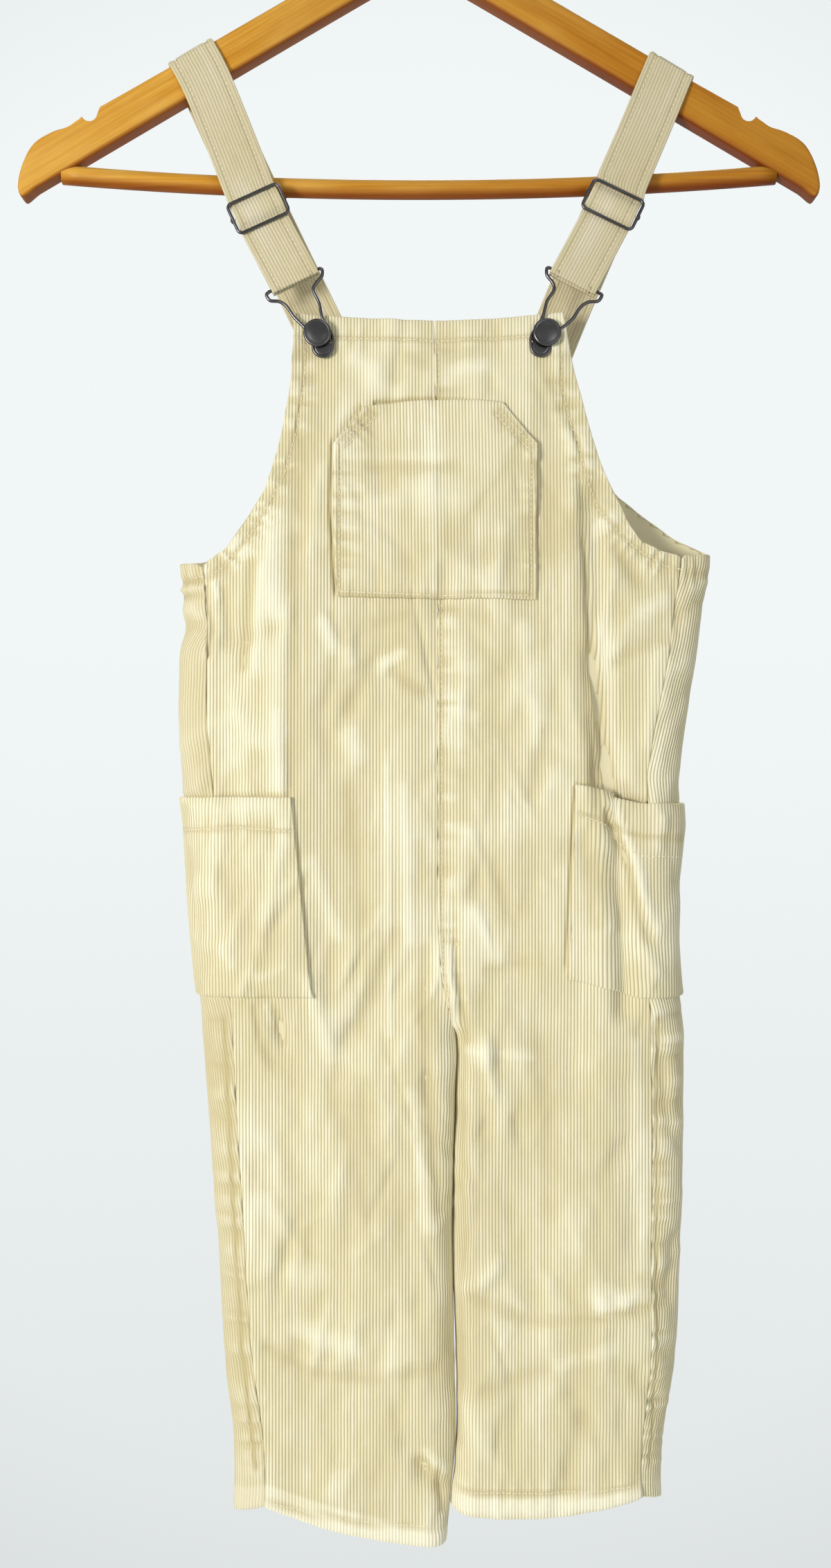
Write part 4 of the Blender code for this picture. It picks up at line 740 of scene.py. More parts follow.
def strap_path(side, half):
    """Middle points and width directions of a strap, from the back over the arm, through the
    slider, round the clip's top wire and up behind itself."""
    data = SIDES[side]
    sign = data["sign"]
    slope = np.arctan(ARM_SLOPE)
    over = place(data["strap_over"], ARM_APEX + ARM_SLOPE * abs(data["strap_over"]))
    rise = np.array((sign * sin(slope), 0.0, cos(slope)))
    arm_lean = -sign * float(np.degrees(slope))
    path = []

    (seat_x, seat_drop, _), (end_x, end_drop, lean) = data["strap_back"][-2:]
    for x, drop in ((end_x, end_drop), (seat_x, seat_drop)):
        surface = half.points(half.way_at(x, drop, back=True), drop)[1]
        path.append((place(x, drop, surface + STRAP / 2 + STRAP_SEAT), lean))
    seat_y = path[-1][0][1]
    shoulder = over - ARM_EDGE * rise
    for x, drop, lean in reversed(data["strap_back"][:-2]):
        share = (drop + shoulder[2]) / (seat_drop + shoulder[2])
        path.append((place(x, drop, STRAP_Y + (seat_y - STRAP_Y) * share), lean))

    corner = ARM_THICK / 2 - ARM_EDGE
    turn = STRAP_Y - corner
    quarter = np.linspace(0.0, pi / 2, 4)
    for angles, face in ((quarter, 1.0), (quarter[::-1], -1.0)):
        for angle in angles:
            path.append((over + (turn * sin(angle) - ARM_EDGE) * rise
                         + np.array((0.0, face * (corner + turn * cos(angle)), 0.0)), arm_lean))

    slider_x, slider_drop, slider_lean = data["slider"]
    fold_x, fold_drop, fold_lean = data["strap_fold"]
    weave_start = SLIDER_WEAVE[0]
    for x, drop, lean in data["strap_front"]:
        share = (drop + shoulder[2]) / (slider_drop + weave_start[0] + shoulder[2])
        path.append((place(x, drop, -STRAP_Y + (weave_start[1] + STRAP_Y) * share), lean))
    down = strap_down(slider_lean)
    slider = place(slider_x, slider_drop)
    for along, y in SLIDER_WEAVE:
        path.append((slider + along * down + np.array((0.0, y, 0.0)), slider_lean))

    fold = place(fold_x, fold_drop, CLIP_Y)
    fold_down = strap_down(fold_lean)
    turn = CLIP_WIRE + SEAM_GAP + STRAP / 2
    for angle in np.linspace(-pi / 2, pi / 2, 7):
        out = cos(angle) * fold_down + sin(angle) * np.array((0.0, 1.0, 0.0))
        path.append((fold + turn * out, fold_lean))
    path.append((slider + STRAP_END * down + np.array((0.0, CLIP_Y + turn, 0.0)), slider_lean))
    return path


def arc(centre, right, up, radius, start, end, count):
    """Points on a circle between two angles in degrees."""
    return [centre + radius * (cos(angle) * right + sin(angle) * up)
            for angle in np.radians(np.linspace(start, end, count))]


def eased(points, per_span):
    """A smooth curve through points."""
    points = np.array(points)
    padded = np.concatenate([[2 * points[0] - points[1]], points, [2 * points[-1] - points[-2]]])
    made = []
    for index in range(len(points) - 1):
        a, b, c, d = padded[index:index + 4]
        for t in np.linspace(0.0, 1.0, per_span + 1)[:-1]:
            made.append(0.5 * (2 * b + (c - a) * t + (2 * a - 5 * b + 4 * c - d) * t ** 2
                               + (3 * b - a - 3 * c + d) * t ** 3))
    return made + [points[-1]]


def arm_top(x):
    return ARM_APEX + ARM_SLOPE * hypot(x, ARM_TOP_ROUND)


def arm_underside(x):
    return ARM_APEX + ARM_DEEP + ARM_SLOPE * hypot(x, ARM_CROTCH_ROUND)


# ---------------------------------------------------------------- meshes

def mesh_object(name, points, faces, finish, smooth=True):
    """An object from points in millimetres and faces of any size."""
    mesh = bpy.data.meshes.new(name)
    mesh.from_pydata((np.asarray(points) * MM).tolist(), [], faces)
    mesh.materials.append(finish)
    if smooth:
        mesh.shade_smooth()
    made = bpy.data.objects.new(name, mesh)
    bpy.context.collection.objects.link(made)
    return made


def store(made, name, values):
    """A vector on every point of a mesh, for its material."""
    layer = made.data.attributes.new(name, "FLOAT_VECTOR", "POINT")
    layer.data.foreach_set("vector", np.asarray(values, dtype=np.float32).ravel())


def finish_piece(made, replaced=()):
    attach(made, "root")
    if replaced:
        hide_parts(*replaced)
    return made


def welded(points, polygons):
    """Points merged where they meet, and the polygons that are left: index arrays of one width."""
    keys = np.round(points / WELD).astype(np.int64)
    _, first, merged = np.unique(keys, axis=0, return_index=True, return_inverse=True)
    merged = merged.ravel()
    faces = []
    for group in polygons:
        group = merged[group]
        same = group == np.roll(group, -1, axis=1)
        plain = ~same.any(axis=1)
        faces += group[plain].tolist()
        for face in group[~plain].tolist():
            kept = [corner for k, corner in enumerate(face) if corner != face[k - 1]]
            if len(kept) > 2 and len(set(kept)) == len(kept):
                faces.append(kept)
    return points[first], faces, first


def face_out(made):
    """Turns a closed mesh's faces outward."""
    shape = bmesh.new()
    shape.from_mesh(made.data)
    bmesh.ops.recalc_face_normals(shape, faces=shape.faces)
    if shape.calc_volume(signed=True) < 0.0:
        bmesh.ops.reverse_faces(shape, faces=shape.faces)
    shape.to_mesh(made.data)
    shape.free()


def grid_faces(index):
    return np.stack([index[:-1, :-1], index[:-1, 1:], index[1:, 1:], index[1:, :-1]],
                    axis=-1).reshape(-1, 4)


def wale_height(w):
    phases = np.array(WALE_PHASES + (1.0,))
    return np.interp(np.mod(w / PITCH, 1.0), phases, np.array(WALE_SHAPE + (WALE_SHAPE[0],)))


def unit_rows(vectors):
    return vectors / np.maximum(np.linalg.norm(vectors, axis=-1, keepdims=True), 1e-9)


def wale_columns(near, far):
    """The w of every column at each level, from the near edge over the wales to the far edge."""
    first, last = int(np.floor(near.min() / PITCH)), int(np.ceil(far.max() / PITCH))
    slots = (np.arange(first, last)[:, None] + np.array(WALE_PHASES)).ravel() * PITCH
    body = np.broadcast_to(slots, (len(near), len(slots)))
    snap = WALE_SNAP * PITCH
    body = np.where(body < near[:, None] + snap, near[:, None], body)
    body = np.where(body > far[:, None] - snap, far[:, None], body)
    return np.concatenate([near[:, None], body, far[:, None]], axis=1)


def away(direction, inward):
    """Directions across an edge, pointed away from the cloth."""
    return -direction * np.sign(np.sum(direction * inward, axis=-1, keepdims=True))


def edge_ways(surface, w, level, base, normal):
    """The ways out of the cloth at its top and foot, and at its two sides."""
    up, out = np.zeros_like(base), np.zeros_like(base)
    for row, towards in ((0, 1), (-1, -2)):
        probe = surface(w[row] + PROBE, level[row])[0] - surface(w[row] - PROBE, level[row])[0]
        up[row] = away(unit_rows(np.cross(normal[row], probe)), base[towards] - base[row])
    for column, step in ((0, PITCH), (-1, -PITCH)):
        along = np.gradient(base[:, column], axis=0)
        inward = surface(w[:, column] + step, level[:, column])[0] - base[:, column]
        out[:, column] = away(unit_rows(np.cross(along, normal[:, column])), inward)
    return up, out


def around(grid):
    """A grid with its edges repeated, once for each step of the turned edges."""
    turns = (len(TURN_ANGLES),) * 2
    return np.pad(grid, (turns, turns) + ((0, 0),) * (grid.ndim - 2), mode="edge")


def outside(w, near, far, base, normal, up, out):
    """Points of the outside with its turned edges and its pile, and the pile's height."""
    turns = np.radians(TURN_ANGLES)
    phi, theta = (np.concatenate([turns[::-1], np.zeros(size), turns]) for size in w.shape)
    w, base, normal, up, out = (around(grid) for grid in (w, base, normal, up, out))
    angle = np.minimum(pi, np.hypot(phi[:, None], theta[None, :]))
    heading = np.arctan2(theta[None, :], phi[:, None])
    sideways = np.cos(heading)[..., None] * up + np.sin(heading)[..., None] * EDGE_ROUND * out
    bent = np.sin(angle)[..., None] * sideways
    points = base + TURN * bent - TURN * (1.0 - np.cos(angle))[..., None] * normal
    facing = unit_rows(np.cos(angle)[..., None] * normal + bent)
    height = wale_height(w)
    near, far = (np.pad(edge, len(turns), mode="edge")[:, None] for edge in (near, far))
    fade = smoothstep((pi - angle) / (pi / 3.0))
    by_edge = smoothstep(np.minimum(w - near, far - w) / EDGE_FADE)
    fade = fade * (EDGE_PILE + (1.0 - EDGE_PILE) * by_edge)
    return points + (((height - 0.5) * PILE) * fade)[..., None] * facing, height


def inside_faces(index, picked):
    """Faces of the inside, which has the picked columns. index numbers the outside's points, and
    the inside's own follow them."""
    turns = len(TURN_ANGLES)
    columns = picked + turns
    shape = (len(index) - 2 * turns, len(picked))
    inside = np.arange(shape[0] * shape[1]).reshape(shape) + index.size
    inside[:, 0], inside[:, -1] = index[turns:-turns, 0], index[turns:-turns, -1]
    inside[0], inside[-1] = index[0, columns], index[-1, columns]
    faces = [grid_faces(inside[1:-1])[:, ::-1]]
    for row, edge, flip in ((1, 0, False), (-2, -1, True)):
        for k in range(len(columns) - 1):
            fine = index[edge, columns[k]:columns[k + 1] + 1]
            fan = np.concatenate([fine, [inside[row, k + 1], inside[row, k]]])
            faces.append((fan if flip else fan[::-1])[None, :])
    return faces


def cloth(name, surface, levels, near, far, finish, both=False):
    """A closed shell of corduroy with turned edges. surface(w, level) gives the points, outward
    normals and a tone; near and far are the w of the two edges at each level. The inside is plain,
    or has wales too where both is set."""
    w = wale_columns(near, far)
    level = np.broadcast_to(levels[:, None], w.shape)
    base, normal, tone = surface(w, level)
    up, out = edge_ways(surface, w, level, base, normal)
    points, height = outside(w, near, far, base, normal, up, out)
    index = np.arange(height.size).reshape(height.shape)

    last = w.shape[1] - 1
    picked = np.arange(last + 1)
    if not both:
        picked = np.concatenate([[0], np.arange(1, last, LINING_STEP), [last]])
    inner_w, inner_normal = w[:, picked], normal[:, picked]
    below = base[:, picked] - 2.0 * TURN * inner_normal
    inner_height = np.full(inner_w.shape, LINING_MARK)
    if both:
        inner_height = wale_height(inner_w)
        below = below + ((0.5 - inner_height) * PILE)[..., None] * inner_normal

    outer_at = np.stack([around(w), around(level), height], axis=-1)
    inner_at = np.stack([inner_w, level[:, picked], inner_height], axis=-1)
    pairs = ((points, below), (outer_at, inner_at), (around(tone), tone[:, picked]))
    all_points, all_at, all_tone = (
        np.concatenate([outer.reshape(-1, 3), inner.reshape(-1, 3)]) for outer, inner in pairs)
    polygons = [grid_faces(index)] + inside_faces(index, picked)
    kept, faces, first = welded(all_points, polygons)
    made = mesh_object(name, kept, faces, finish)
    face_out(made)
    store(made, "cloth", all_at[first])
    store(made, "tone", all_tone[first])
    return made


# ---------------------------------------------------------------- panels

def reach(half, x, drop, back=False):
    """The distance round a half, from the centre front, of a place on one of its faces."""
    row = np.clip((drop - DROPS[0]) / DROP_STEP, 0.0, len(DROPS) - LAST)
    share = row - int(row)
    out = half.sign * (x - np.interp(drop, DROPS, half.inner)) - SEAM_GAP / 2
    lengths = [np.interp(out, face[0], face[3]) for face in half.faces[int(row):int(row) + 2]]
    length = lengths[0] * (1.0 - share) + lengths[1] * share
    return 2.0 * half.length(drop) - length if back else length


def near_line(x, drop, line):
    """Distance from places to a polyline, and how far along it the nearest point is."""
    best = np.full(x.shape, np.inf)
    along = np.zeros(x.shape)
    run = 0.0
    for (x0, d0), (x1, d1) in zip(line, line[1:]):
        length = hypot(x1 - x0, d1 - d0)
        share = np.clip(((x - x0) * (x1 - x0) + (drop - d0) * (d1 - d0)) / length ** 2, 0.0, 1.0)
        gap = np.hypot(x - x0 - share * (x1 - x0), drop - d0 - share * (d1 - d0))
        closer = gap < best
        best = np.where(closer, gap, best)
        along = np.where(closer, run + share * length, along)
        run += length
    return best, along


def ripple(along, seed, period):
    """Uneven waves along a seam, from -1 to 1."""
    knots = np.random.default_rng(seed).uniform(-1.0, 1.0, PUCKER_KNOTS)
    at = along / (0.5 * period)
    low = np.floor(at).astype(int)
    share = smoothstep(at - low)
    return knots[low % PUCKER_KNOTS] * (1.0 - share) + knots[(low + 1) % PUCKER_KNOTS] * share


def dressed(form, dress, sign, w, level):
    """A surface with its sewing and small creases: points, outward normals, and a tone that paints
    shade and highlight on it.
    """
    points, normal = form(w, level)
    height, painted_shade, tone_height = dress(points)
    raised = points + height[..., None] * normal
    grown = []
    for dw, dl in ((SLOPE_STEP, 0.0), (0.0, SLOPE_STEP)):
        beside = form(w + dw, level + dl)[0]
        grown.append(beside + dress(beside)[0][..., None] * normal - raised)
    facing = unit_rows(np.cross(grown[1], grown[0]) * sign)
    tone_height = np.clip(tone_height, -TONE_MOST, TONE_MOST)
    tone = np.stack([painted_shade, tone_height, np.zeros_like(painted_shade)], axis=-1)
    return raised, facing, tone


def strewn(seed):
    """Small random creases over the whole garment."""
    low_x, high_x, low, high = CREASE_BOX
    rng = np.random.default_rng(seed)
    count = int((high_x - low_x) * (high - low) / CREASE_ROOM)
    middle = rng.uniform((low_x, low), (high_x, high), (count, 2))
    lean = np.radians(90.0 + rng.normal(0.0, CREASE_LEAN, count))
    half_length = rng.uniform(*CREASE_HALF_LENGTHS, count)
    reach_x, reach_drop = half_length * np.cos(lean), half_length * np.sin(lean)
    width = rng.uniform(*CREASE_WIDTHS, count)
    height = rng.normal(0.0, CREASE_STEEP, count) * width
    return np.stack([middle[:, 0] - reach_x, middle[:, 1] - reach_drop, middle[:, 0] + reach_x,
                     middle[:, 1] + reach_drop, width, height], axis=-1)


def blended(grid, row, column, down, across):
    """A grid between its samples, down and across being the shares of the next ones."""
    top = grid[row, column] * (1.0 - across) + grid[row, column + 1] * across
    low = grid[row + 1, column] * (1.0 - across) + grid[row + 1, column + 1] * across
    return top * (1.0 - down) + low * down


def near_crease(steps, start, end, width):
    """The steps that a crease from start to end can raise."""
    margin = 3.0 * width + 1.0
    return slice(*np.searchsorted(steps, (min(start, end) - margin, max(start, end) + margin)))


class Relief:
    """Soft hanging and small creases, the same for every piece that lies on one face."""

    def __init__(self):
        self.xs = np.arange(*RELIEF_BOX[:2], RELIEF_STEPS[0])
        self.drops = np.arange(*RELIEF_BOX[2:], RELIEF_STEPS[1])
        x, drop = np.meshgrid(self.xs, self.drops)
        self.heights = []
        for seed in (SEEDS["relief_front"], SEEDS["relief_back"]):
            total = undulation(x, drop, seed)
            for crease in strewn(seed):
                columns = near_crease(self.xs, crease[0], crease[2], crease[4])
                rows = near_crease(self.drops, crease[1], crease[3], crease[4])
                box = rows, columns
                total[box] += fold_height((crease,), x[box], drop[box])
            self.heights.append(total)

    def look(self, field, x, drop):
        u = np.clip((x - self.xs[0]) / RELIEF_STEPS[0], 0.0, len(self.xs) - LAST)
        v = np.clip((drop - self.drops[0]) / RELIEF_STEPS[1], 0.0, len(self.drops) - LAST)
        i, j = u.astype(int), v.astype(int)
        return blended(field, j, i, v - j, u - i)

    def at(self, points):
        x, y, drop = points[..., 0], points[..., 1], -points[..., 2]
        front, back = (self.look(field, x, drop) for field in self.heights)
        share = smoothstep(y / RELIEF_TURN + 0.5)
        height = front * (1.0 - share) + back * share
        whole = smoothstep(np.abs(y) / RELIEF_WHOLE)
        return height * (RELIEF_AT_FOLD + (1.0 - RELIEF_AT_FOLD) * whole)

    def under(self, points, height, painted_shade):
        """A piece's own height and painted shade over this relief, and the height that is painted
        on the pile as shade and highlight.
        """
        soft = self.at(points)
        return height + soft, painted_shade, height + SOFT_SHADE * soft


def undulation(x, drop, seed):
    """Soft uneven hanging of the cloth, longer down than across."""
    total = np.zeros_like(x)
    for k, (wide, tall, height) in enumerate(HANGING):
        rng = np.random.default_rng(seed * 7 + k)
        knots = rng.uniform(-1.0, 1.0, (HANGING_KNOTS, HANGING_KNOTS))
        u, v = x / wide + HANGING_OFFSET + HANGING_LEAN * drop / tall, drop / tall
        i, j = np.floor(u).astype(int), np.floor(v).astype(int)
        a, b = smoothstep(u - i), smoothstep(v - j)
        total += height * blended(knots.T, j % (HANGING_KNOTS - 1), i % (HANGING_KNOTS - 1), b, a)
    return total


def sewn_and_creased(name, seed, points):
    """How far a piece's sewing and small creases raise the cloth, and how much painted shade
    darkens it there.
    """
    x, drop = points[..., 0], -points[..., 2]
    raised = fold_height(CREASES.get(name, ()), x, drop)
    stitch_shade = np.zeros_like(x)
    for k, (line, pucker, period) in enumerate(SEWN.get(name, ())):
        gap, along = near_line(x, drop, line)
        groove = bell(gap, SEW_GROOVE)
        waves = PUCKER * pucker * ripple(along, seed * 31 + k, period)
        raised = raised - SEW_SINK * groove
        raised = raised + waves * bell(gap, PUCKER_REACH) * (1.0 - GROOVE_CALM * groove)
        stitch_shade = np.maximum(stitch_shade, SEAM_SHADE * bell(gap, SEAM_SHADE_REACH))
    return raised, stitch_shade


class Panel:
    """A front or back panel. A place on it is (w, level): w runs across the wales from an upright
    line of them, and a level is a row that slopes where the panel's edges do."""

    def __init__(self, half, back, relief):
        self.half, self.back, self.relief = half, back, relief
        self.name = ("back_" if back else "front_") + half.side
        self.seed = SEEDS[self.name]
        self.grain = np.array([reach(half, GRAIN[self.name], drop, back) for drop in DROPS])
        self.top = BACK_TOP if back else BIB_TOP
        self.foot = HEMS[half.side][1]
        self.steps = np.arange(self.top, self.foot + 0.01, 1.0)
        table = np.array([self.edges(level) for level in self.steps])
        self.end_drop, self.sag, self.near, self.far, self.share = table.T

    def edges(self, level):
        """The outer edge's drop, the row's sag, the w of both edges and where the slope begins."""
        half, side = self.half, self.half.side
        fan_top, fan_end = (BACK_TOP, BACK_FAN_END) if self.back else (BIB_TOP, FAN_END)
        armhole = ARMHOLES[self.name]
        rows = np.array(ROW_ENDS[side])
        seam_top = ARMHOLES["front_" + side][-1][1]
        sag = 0.0
        if level < fan_end:
            share = (level - fan_top) / (fan_end - fan_top)
            if self.back:
                places = [(reach(half, x, drop, True), drop) for x, drop in armhole]
                places.append((self.seam_reach(seam_top) + SEAM_HALF, seam_top))
                end, end_drop = spaced(places, [share])[0]
            else:
                end_x, end_drop = spaced(armhole, [share])[0]
                end = reach(half, end_x, end_drop)
        else:
            ends = np.concatenate([[[fan_end, seam_top, 0.0]], rows[1:]])
            end_drop = np.interp(level, ends[:, 0], ends[:, 1])
            sag = np.interp(level, ends[:, 0], ends[:, 2])
            end = self.seam_reach(end_drop) + (SEAM_HALF if self.back else -SEAM_HALF)
        turn = self.inseam_turn(level)
        if self.back:
            centre = 2.0 * half.length(level) - SEAM_HALF + turn
            first = end + TURN * EDGE_ROUND - self.grain_at(end_drop)
            last = centre - TURN * EDGE_ROUND - self.grain_at(level)
            share = SIDE_POCKET_BACK / (last - first)
        else:
            first = SEAM_HALF + TURN * EDGE_ROUND + turn - self.grain_at(level)
            last = end - TURN * EDGE_ROUND - self.grain_at(end_drop)
            line = [row[1 if side == "left" else 2] for row in POCKET_LINE]
            pocket_x = np.interp(level, [row[0] for row in POCKET_LINE], line)
            share = (reach(half, pocket_x, level) - self.grain_at(level) - first) / (last - first)
        return end_drop, sag, first, last, share

    def inseam_turn(self, drop):
        """How far round the front of the left leg its inseam has turned."""
        rows = np.array(INSEAM_TURN)
        return np.interp(drop, rows[:, 0], rows[:, 1]) if self.half.side == "left" else 0.0

    def seam_reach(self, drop):
        fold = np.interp(drop, DROPS, self.half.fold)
        seam = np.interp(drop, DROPS, self.half.seam)
        return reach(self.half, fold - self.half.sign * seam, drop)

    def grain_at(self, drop):
        return np.interp(drop, DROPS, self.grain)

    def drop_at(self, w, level):
        look = lambda column: np.interp(level, self.steps, column)
        near, far, share = look(self.near), look(self.far), look(self.share)
        u = (w - near) / (far - near)
        blend = np.where(level < LEVEL_END, smoothstep((u - share) / (1.0 - share)), u)
        if self.back:
            blend = 1.0 - blend
        drop = level + (look(self.end_drop) - level) * blend + look(self.sag) * 4.0 * u * (1.0 - u)
        if self.back:
            return drop
        out = w + np.interp(level, DROPS, self.grain)
        arch = TOP_RISE + TOP_ARCH * (out / TOP_ARCH_OUT) ** 2
        return drop - arch * (1.0 - smoothstep((level - self.top) / TOP_ARCH_DEEP))

    def place(self, w, level):
        """The way and drop of a place on the panel."""
        drop = self.drop_at(w, level)
        return (w + self.grain_at(drop)) / self.half.length(drop), drop

    def find(self, x, drop):
        """The w and level of a place seen from the front, or from behind on a back panel."""
        w = reach(self.half, x, drop, self.back) - self.grain_at(drop)
        level = drop
        for _ in range(6):
            level = level + drop - self.drop_at(w, level)
        return w, level

    def dress(self, points):
        behind = points[..., 1] > 0.0
        height, painted_shade = sewn_and_creased(self.name, self.seed, points)
        if self.back:
            strip = sewn_and_creased("strip_" + self.half.side, self.seed, points)
            height = np.where(behind, height, strip[0])
            # the side strip is darkened by painted shade as well as by its stitches' painted shade
            painted_shade = np.where(behind, painted_shade, strip[1] + STRIP_SHADE[self.half.side])
        return self.relief.under(points, height, painted_shade)

    def surface(self, w, level):
        raised, facing, tone = dressed(self.form, self.dress, self.half.sign, w, level)
        hem = HEMS[self.half.side][0]
        tone[..., 1] += HEM_PALE[self.half.side] * smoothstep((level - hem) / HEM_STEP + 0.5)
        return raised, facing, tone

    def form(self, w, level):
        way, drop = self.place(w, level)
        way = np.mod(way, 2.0)
        return self.half.apart(self.half.points(way, drop), way), self.half.normals(way, drop)

    def rows(self, extra=()):
        """Levels from top to foot, with more of them beside level stitch lines."""
        count = int((self.foot - self.top) / ROW_STEP)
        levels = list(np.linspace(self.top + TURN, self.foot - TURN, count))
        levels += [level + offset for level in extra for offset in FINE_OFFSETS]
        levels = np.array(sorted(levels))
        return levels[np.concatenate([[True], np.diff(levels) > CLOSEST_ROWS])]

    def build(self, finish, extra):
        levels = self.rows(extra)
        near = np.interp(levels, self.steps, self.near)
        far = np.interp(levels, self.steps, self.far)
        return cloth(self.name + "_cloth", self.surface, levels, near, far, finish)


# ---------------------------------------------------------------- pockets

def bib_pocket_surface(panels):
    """The patch across the centre seam. w is the distance from that seam, less than 0 on the
    left, and a level is a row that follows the pocket's arched top and sloping foot."""
    halves = [panel.half for panel in panels]

    def form(w, level):
        arch = POCKET_DIP * ((w - POCKET_MIDDLE) / POCKET_DIP_OUT) ** 2 - POCKET_RISE
        drop = level + arch * (1.0 - smoothstep((level - POCKET_TOP) / POCKET_DIP_DEEP))
        slope, start, over = POCKET_TILT
        drop = drop + slope * w * smoothstep((level - start) / over)
        found = []
        for half in halves:
            way = np.maximum(w * half.sign, 0.0) / half.length(drop)
            found.append((half.points(way, drop), half.normals(way, drop)))
        right = (w > 0.0)[..., None]
        points = np.where(right, found[1][0], found[0][0])
        normal = unit_rows(np.where(right, found[1][1], found[0][1]))
        return points + (SEAM_GAP + CLOTH + POCKET_LIFT) * normal, normal

    def dress(points):
        height, painted_shade = sewn_and_creased("bib_pocket", SEEDS["bib_pocket"], points)
        return panels[0].relief.under(points, height, painted_shade)

    return lambda w, level: dressed(form, dress, 1.0, w, level)


def bib_pocket(panels, finish):
    levels = np.linspace(POCKET_TOP + TURN, POCKET_FOOT - TURN, POCKET_ROWS)
    line = np.array(POCKET_LINE)
    near = np.array([-reach(panels[0].half, np.interp(level, line[:, 0], line[:, 1]), level)
                     for level in levels]) + TURN * EDGE_ROUND
    far = np.array([reach(panels[1].half, np.interp(level, line[:, 0], line[:, 2]), level)
                    for level in levels]) - TURN * EDGE_ROUND
    surface = bib_pocket_surface(panels)
    return cloth("bib_pocket_cloth", surface, levels, near, far, finish), surface


def side_pocket(front, finish):
    """A patch over the side seam. w is measured as on the front panel."""
    half = front.half
    side = half.side
    name = "side_pocket_" + side
    top, foot = SIDE_POCKETS[side]
    gape = POCKET_GAPE if side == "right" else 0.0
    line = np.array(POCKET_LINE)
    steps = np.arange(top - 4.0, foot + 5.0, 1.0)
    lines_x = np.interp(steps, line[:, 0], line[:, 1 if side == "left" else 2])
    starts = np.array([reach(half, x, drop) for x, drop in zip(lines_x, steps)])
    end_drops = np.interp(steps, front.steps, front.end_drop)
    seams = np.array([front.seam_reach(drop) for drop in end_drops])

    def form(w, level):
        start, seam = np.interp(level, steps, starts), np.interp(level, steps, seams)
        end = np.interp(level, steps, end_drops)
        run = w + front.grain_at(level)
        u = np.clip((run - start) / (seam - start), 0.0, 1.0)
        drop = level + (end - level) * smoothstep(u)
        way = np.clip(run / half.length(drop), 0.0, 2.0)
        points, normal = half.points(way, drop), half.normals(way, drop)
        slack = gape * np.sin(pi * u) * (1.0 - smoothstep((level - top) / POCKET_GAPE_DEPTH))
        return points + (SEAM_GAP + CLOTH + POCKET_LIFT + slack)[..., None] * normal, normal

    def dress(points):
        height, painted_shade = sewn_and_creased(name, SEEDS["side_pocket"], points)
        before = points[..., 1] < 0.0
        return front.relief.under(points, np.where(before, height, 0.0),
                                  np.where(before, painted_shade, 0.0))

    surface = lambda w, level: dressed(form, dress, half.sign, w, level)
    levels = np.linspace(top + TURN, foot - TURN, POCKET_ROWS)
    grain = front.grain_at(levels)
    near = np.interp(levels, steps, starts) - grain + TURN * EDGE_ROUND
    far = np.interp(levels, steps, seams) + SIDE_POCKET_BACK - grain - TURN * EDGE_ROUND
    return cloth(name + "_cloth", surface, levels, near, far, finish), surface


# ---------------------------------------------------------------- straps

class Strap:
    """A strap as a surface: w runs across it and a level is a distance along it."""

    def __init__(self, side, half):
        path = strap_path(side, half)
        rows = np.array([[*point, lean] for point, lean in path])
        self.fine = np.array(eased(rows, STRAP_SPAN_STEPS))
        self.run = run_along(self.fine[:, :3])
        self.length = self.run[-1]
        self.side = side
        self.sign = 1.0
        if self.outward(np.array([STRAP_IN_FRONT * self.length]))[0, 1] > 0.0:
            self.sign = -1.0

    def centre(self, level):
        return np.stack([np.interp(level, self.run, self.fine[:, k]) for k in range(3)], axis=-1)

    def across(self, level):
        lean = np.radians(np.interp(level, self.run, self.fine[:, 3]))
        return np.stack([np.cos(lean), np.zeros_like(lean), np.sin(lean)], axis=-1)

    def outward(self, level):
        ahead = self.centre(np.clip(level + LINE_PROBE, 0.0, self.length))
        tangent = ahead - self.centre(np.clip(level - LINE_PROBE, 0.0, self.length))
        return self.sign * unit_rows(np.cross(self.across(level), tangent))

    def surface(self, w, level):
        normal = self.outward(level)
        points = self.centre(level) + w[..., None] * self.across(level) + TURN * normal
        gap = np.abs(np.abs(w) - STRAP_SEWN)
        waves = ripple(level, SEEDS["strap_" + self.side], STRAP_PUCKER_LENGTH)
        height = (-SEW_SINK * bell(gap, STRAP_GROOVE)
                  + STRAP_PUCKER * waves * bell(gap, STRAP_PUCKER_REACH))
        # painted shade beside the strap's stitches; their groove's height is painted as shade too
        painted_shade = SEAM_SHADE * bell(gap, SEAM_SHADE_REACH)
        tone = np.stack([painted_shade, height, np.ones_like(painted_shade)], axis=-1)
        return points + height[..., None] * normal, normal, tone

    def build(self, finish):
        bends = self.run[(self.run > STRAP_ROW) & (self.run < self.length - STRAP_ROW)]
        even = np.linspace(TURN, self.length - TURN, int(self.length / STRAP_ROW))
        levels = np.unique(np.concatenate([even, bends]))
        levels = levels[np.concatenate([[True], np.diff(levels) > STRAP_CLOSEST_ROWS])]
        edge = np.full(len(levels), STRAP_WIDTH / 2 - TURN * EDGE_ROUND)
        return cloth("strap_cloth_" + self.side, self.surface, levels, -edge, edge, finish,
                     both=True)


# ---------------------------------------------------------------- sewing

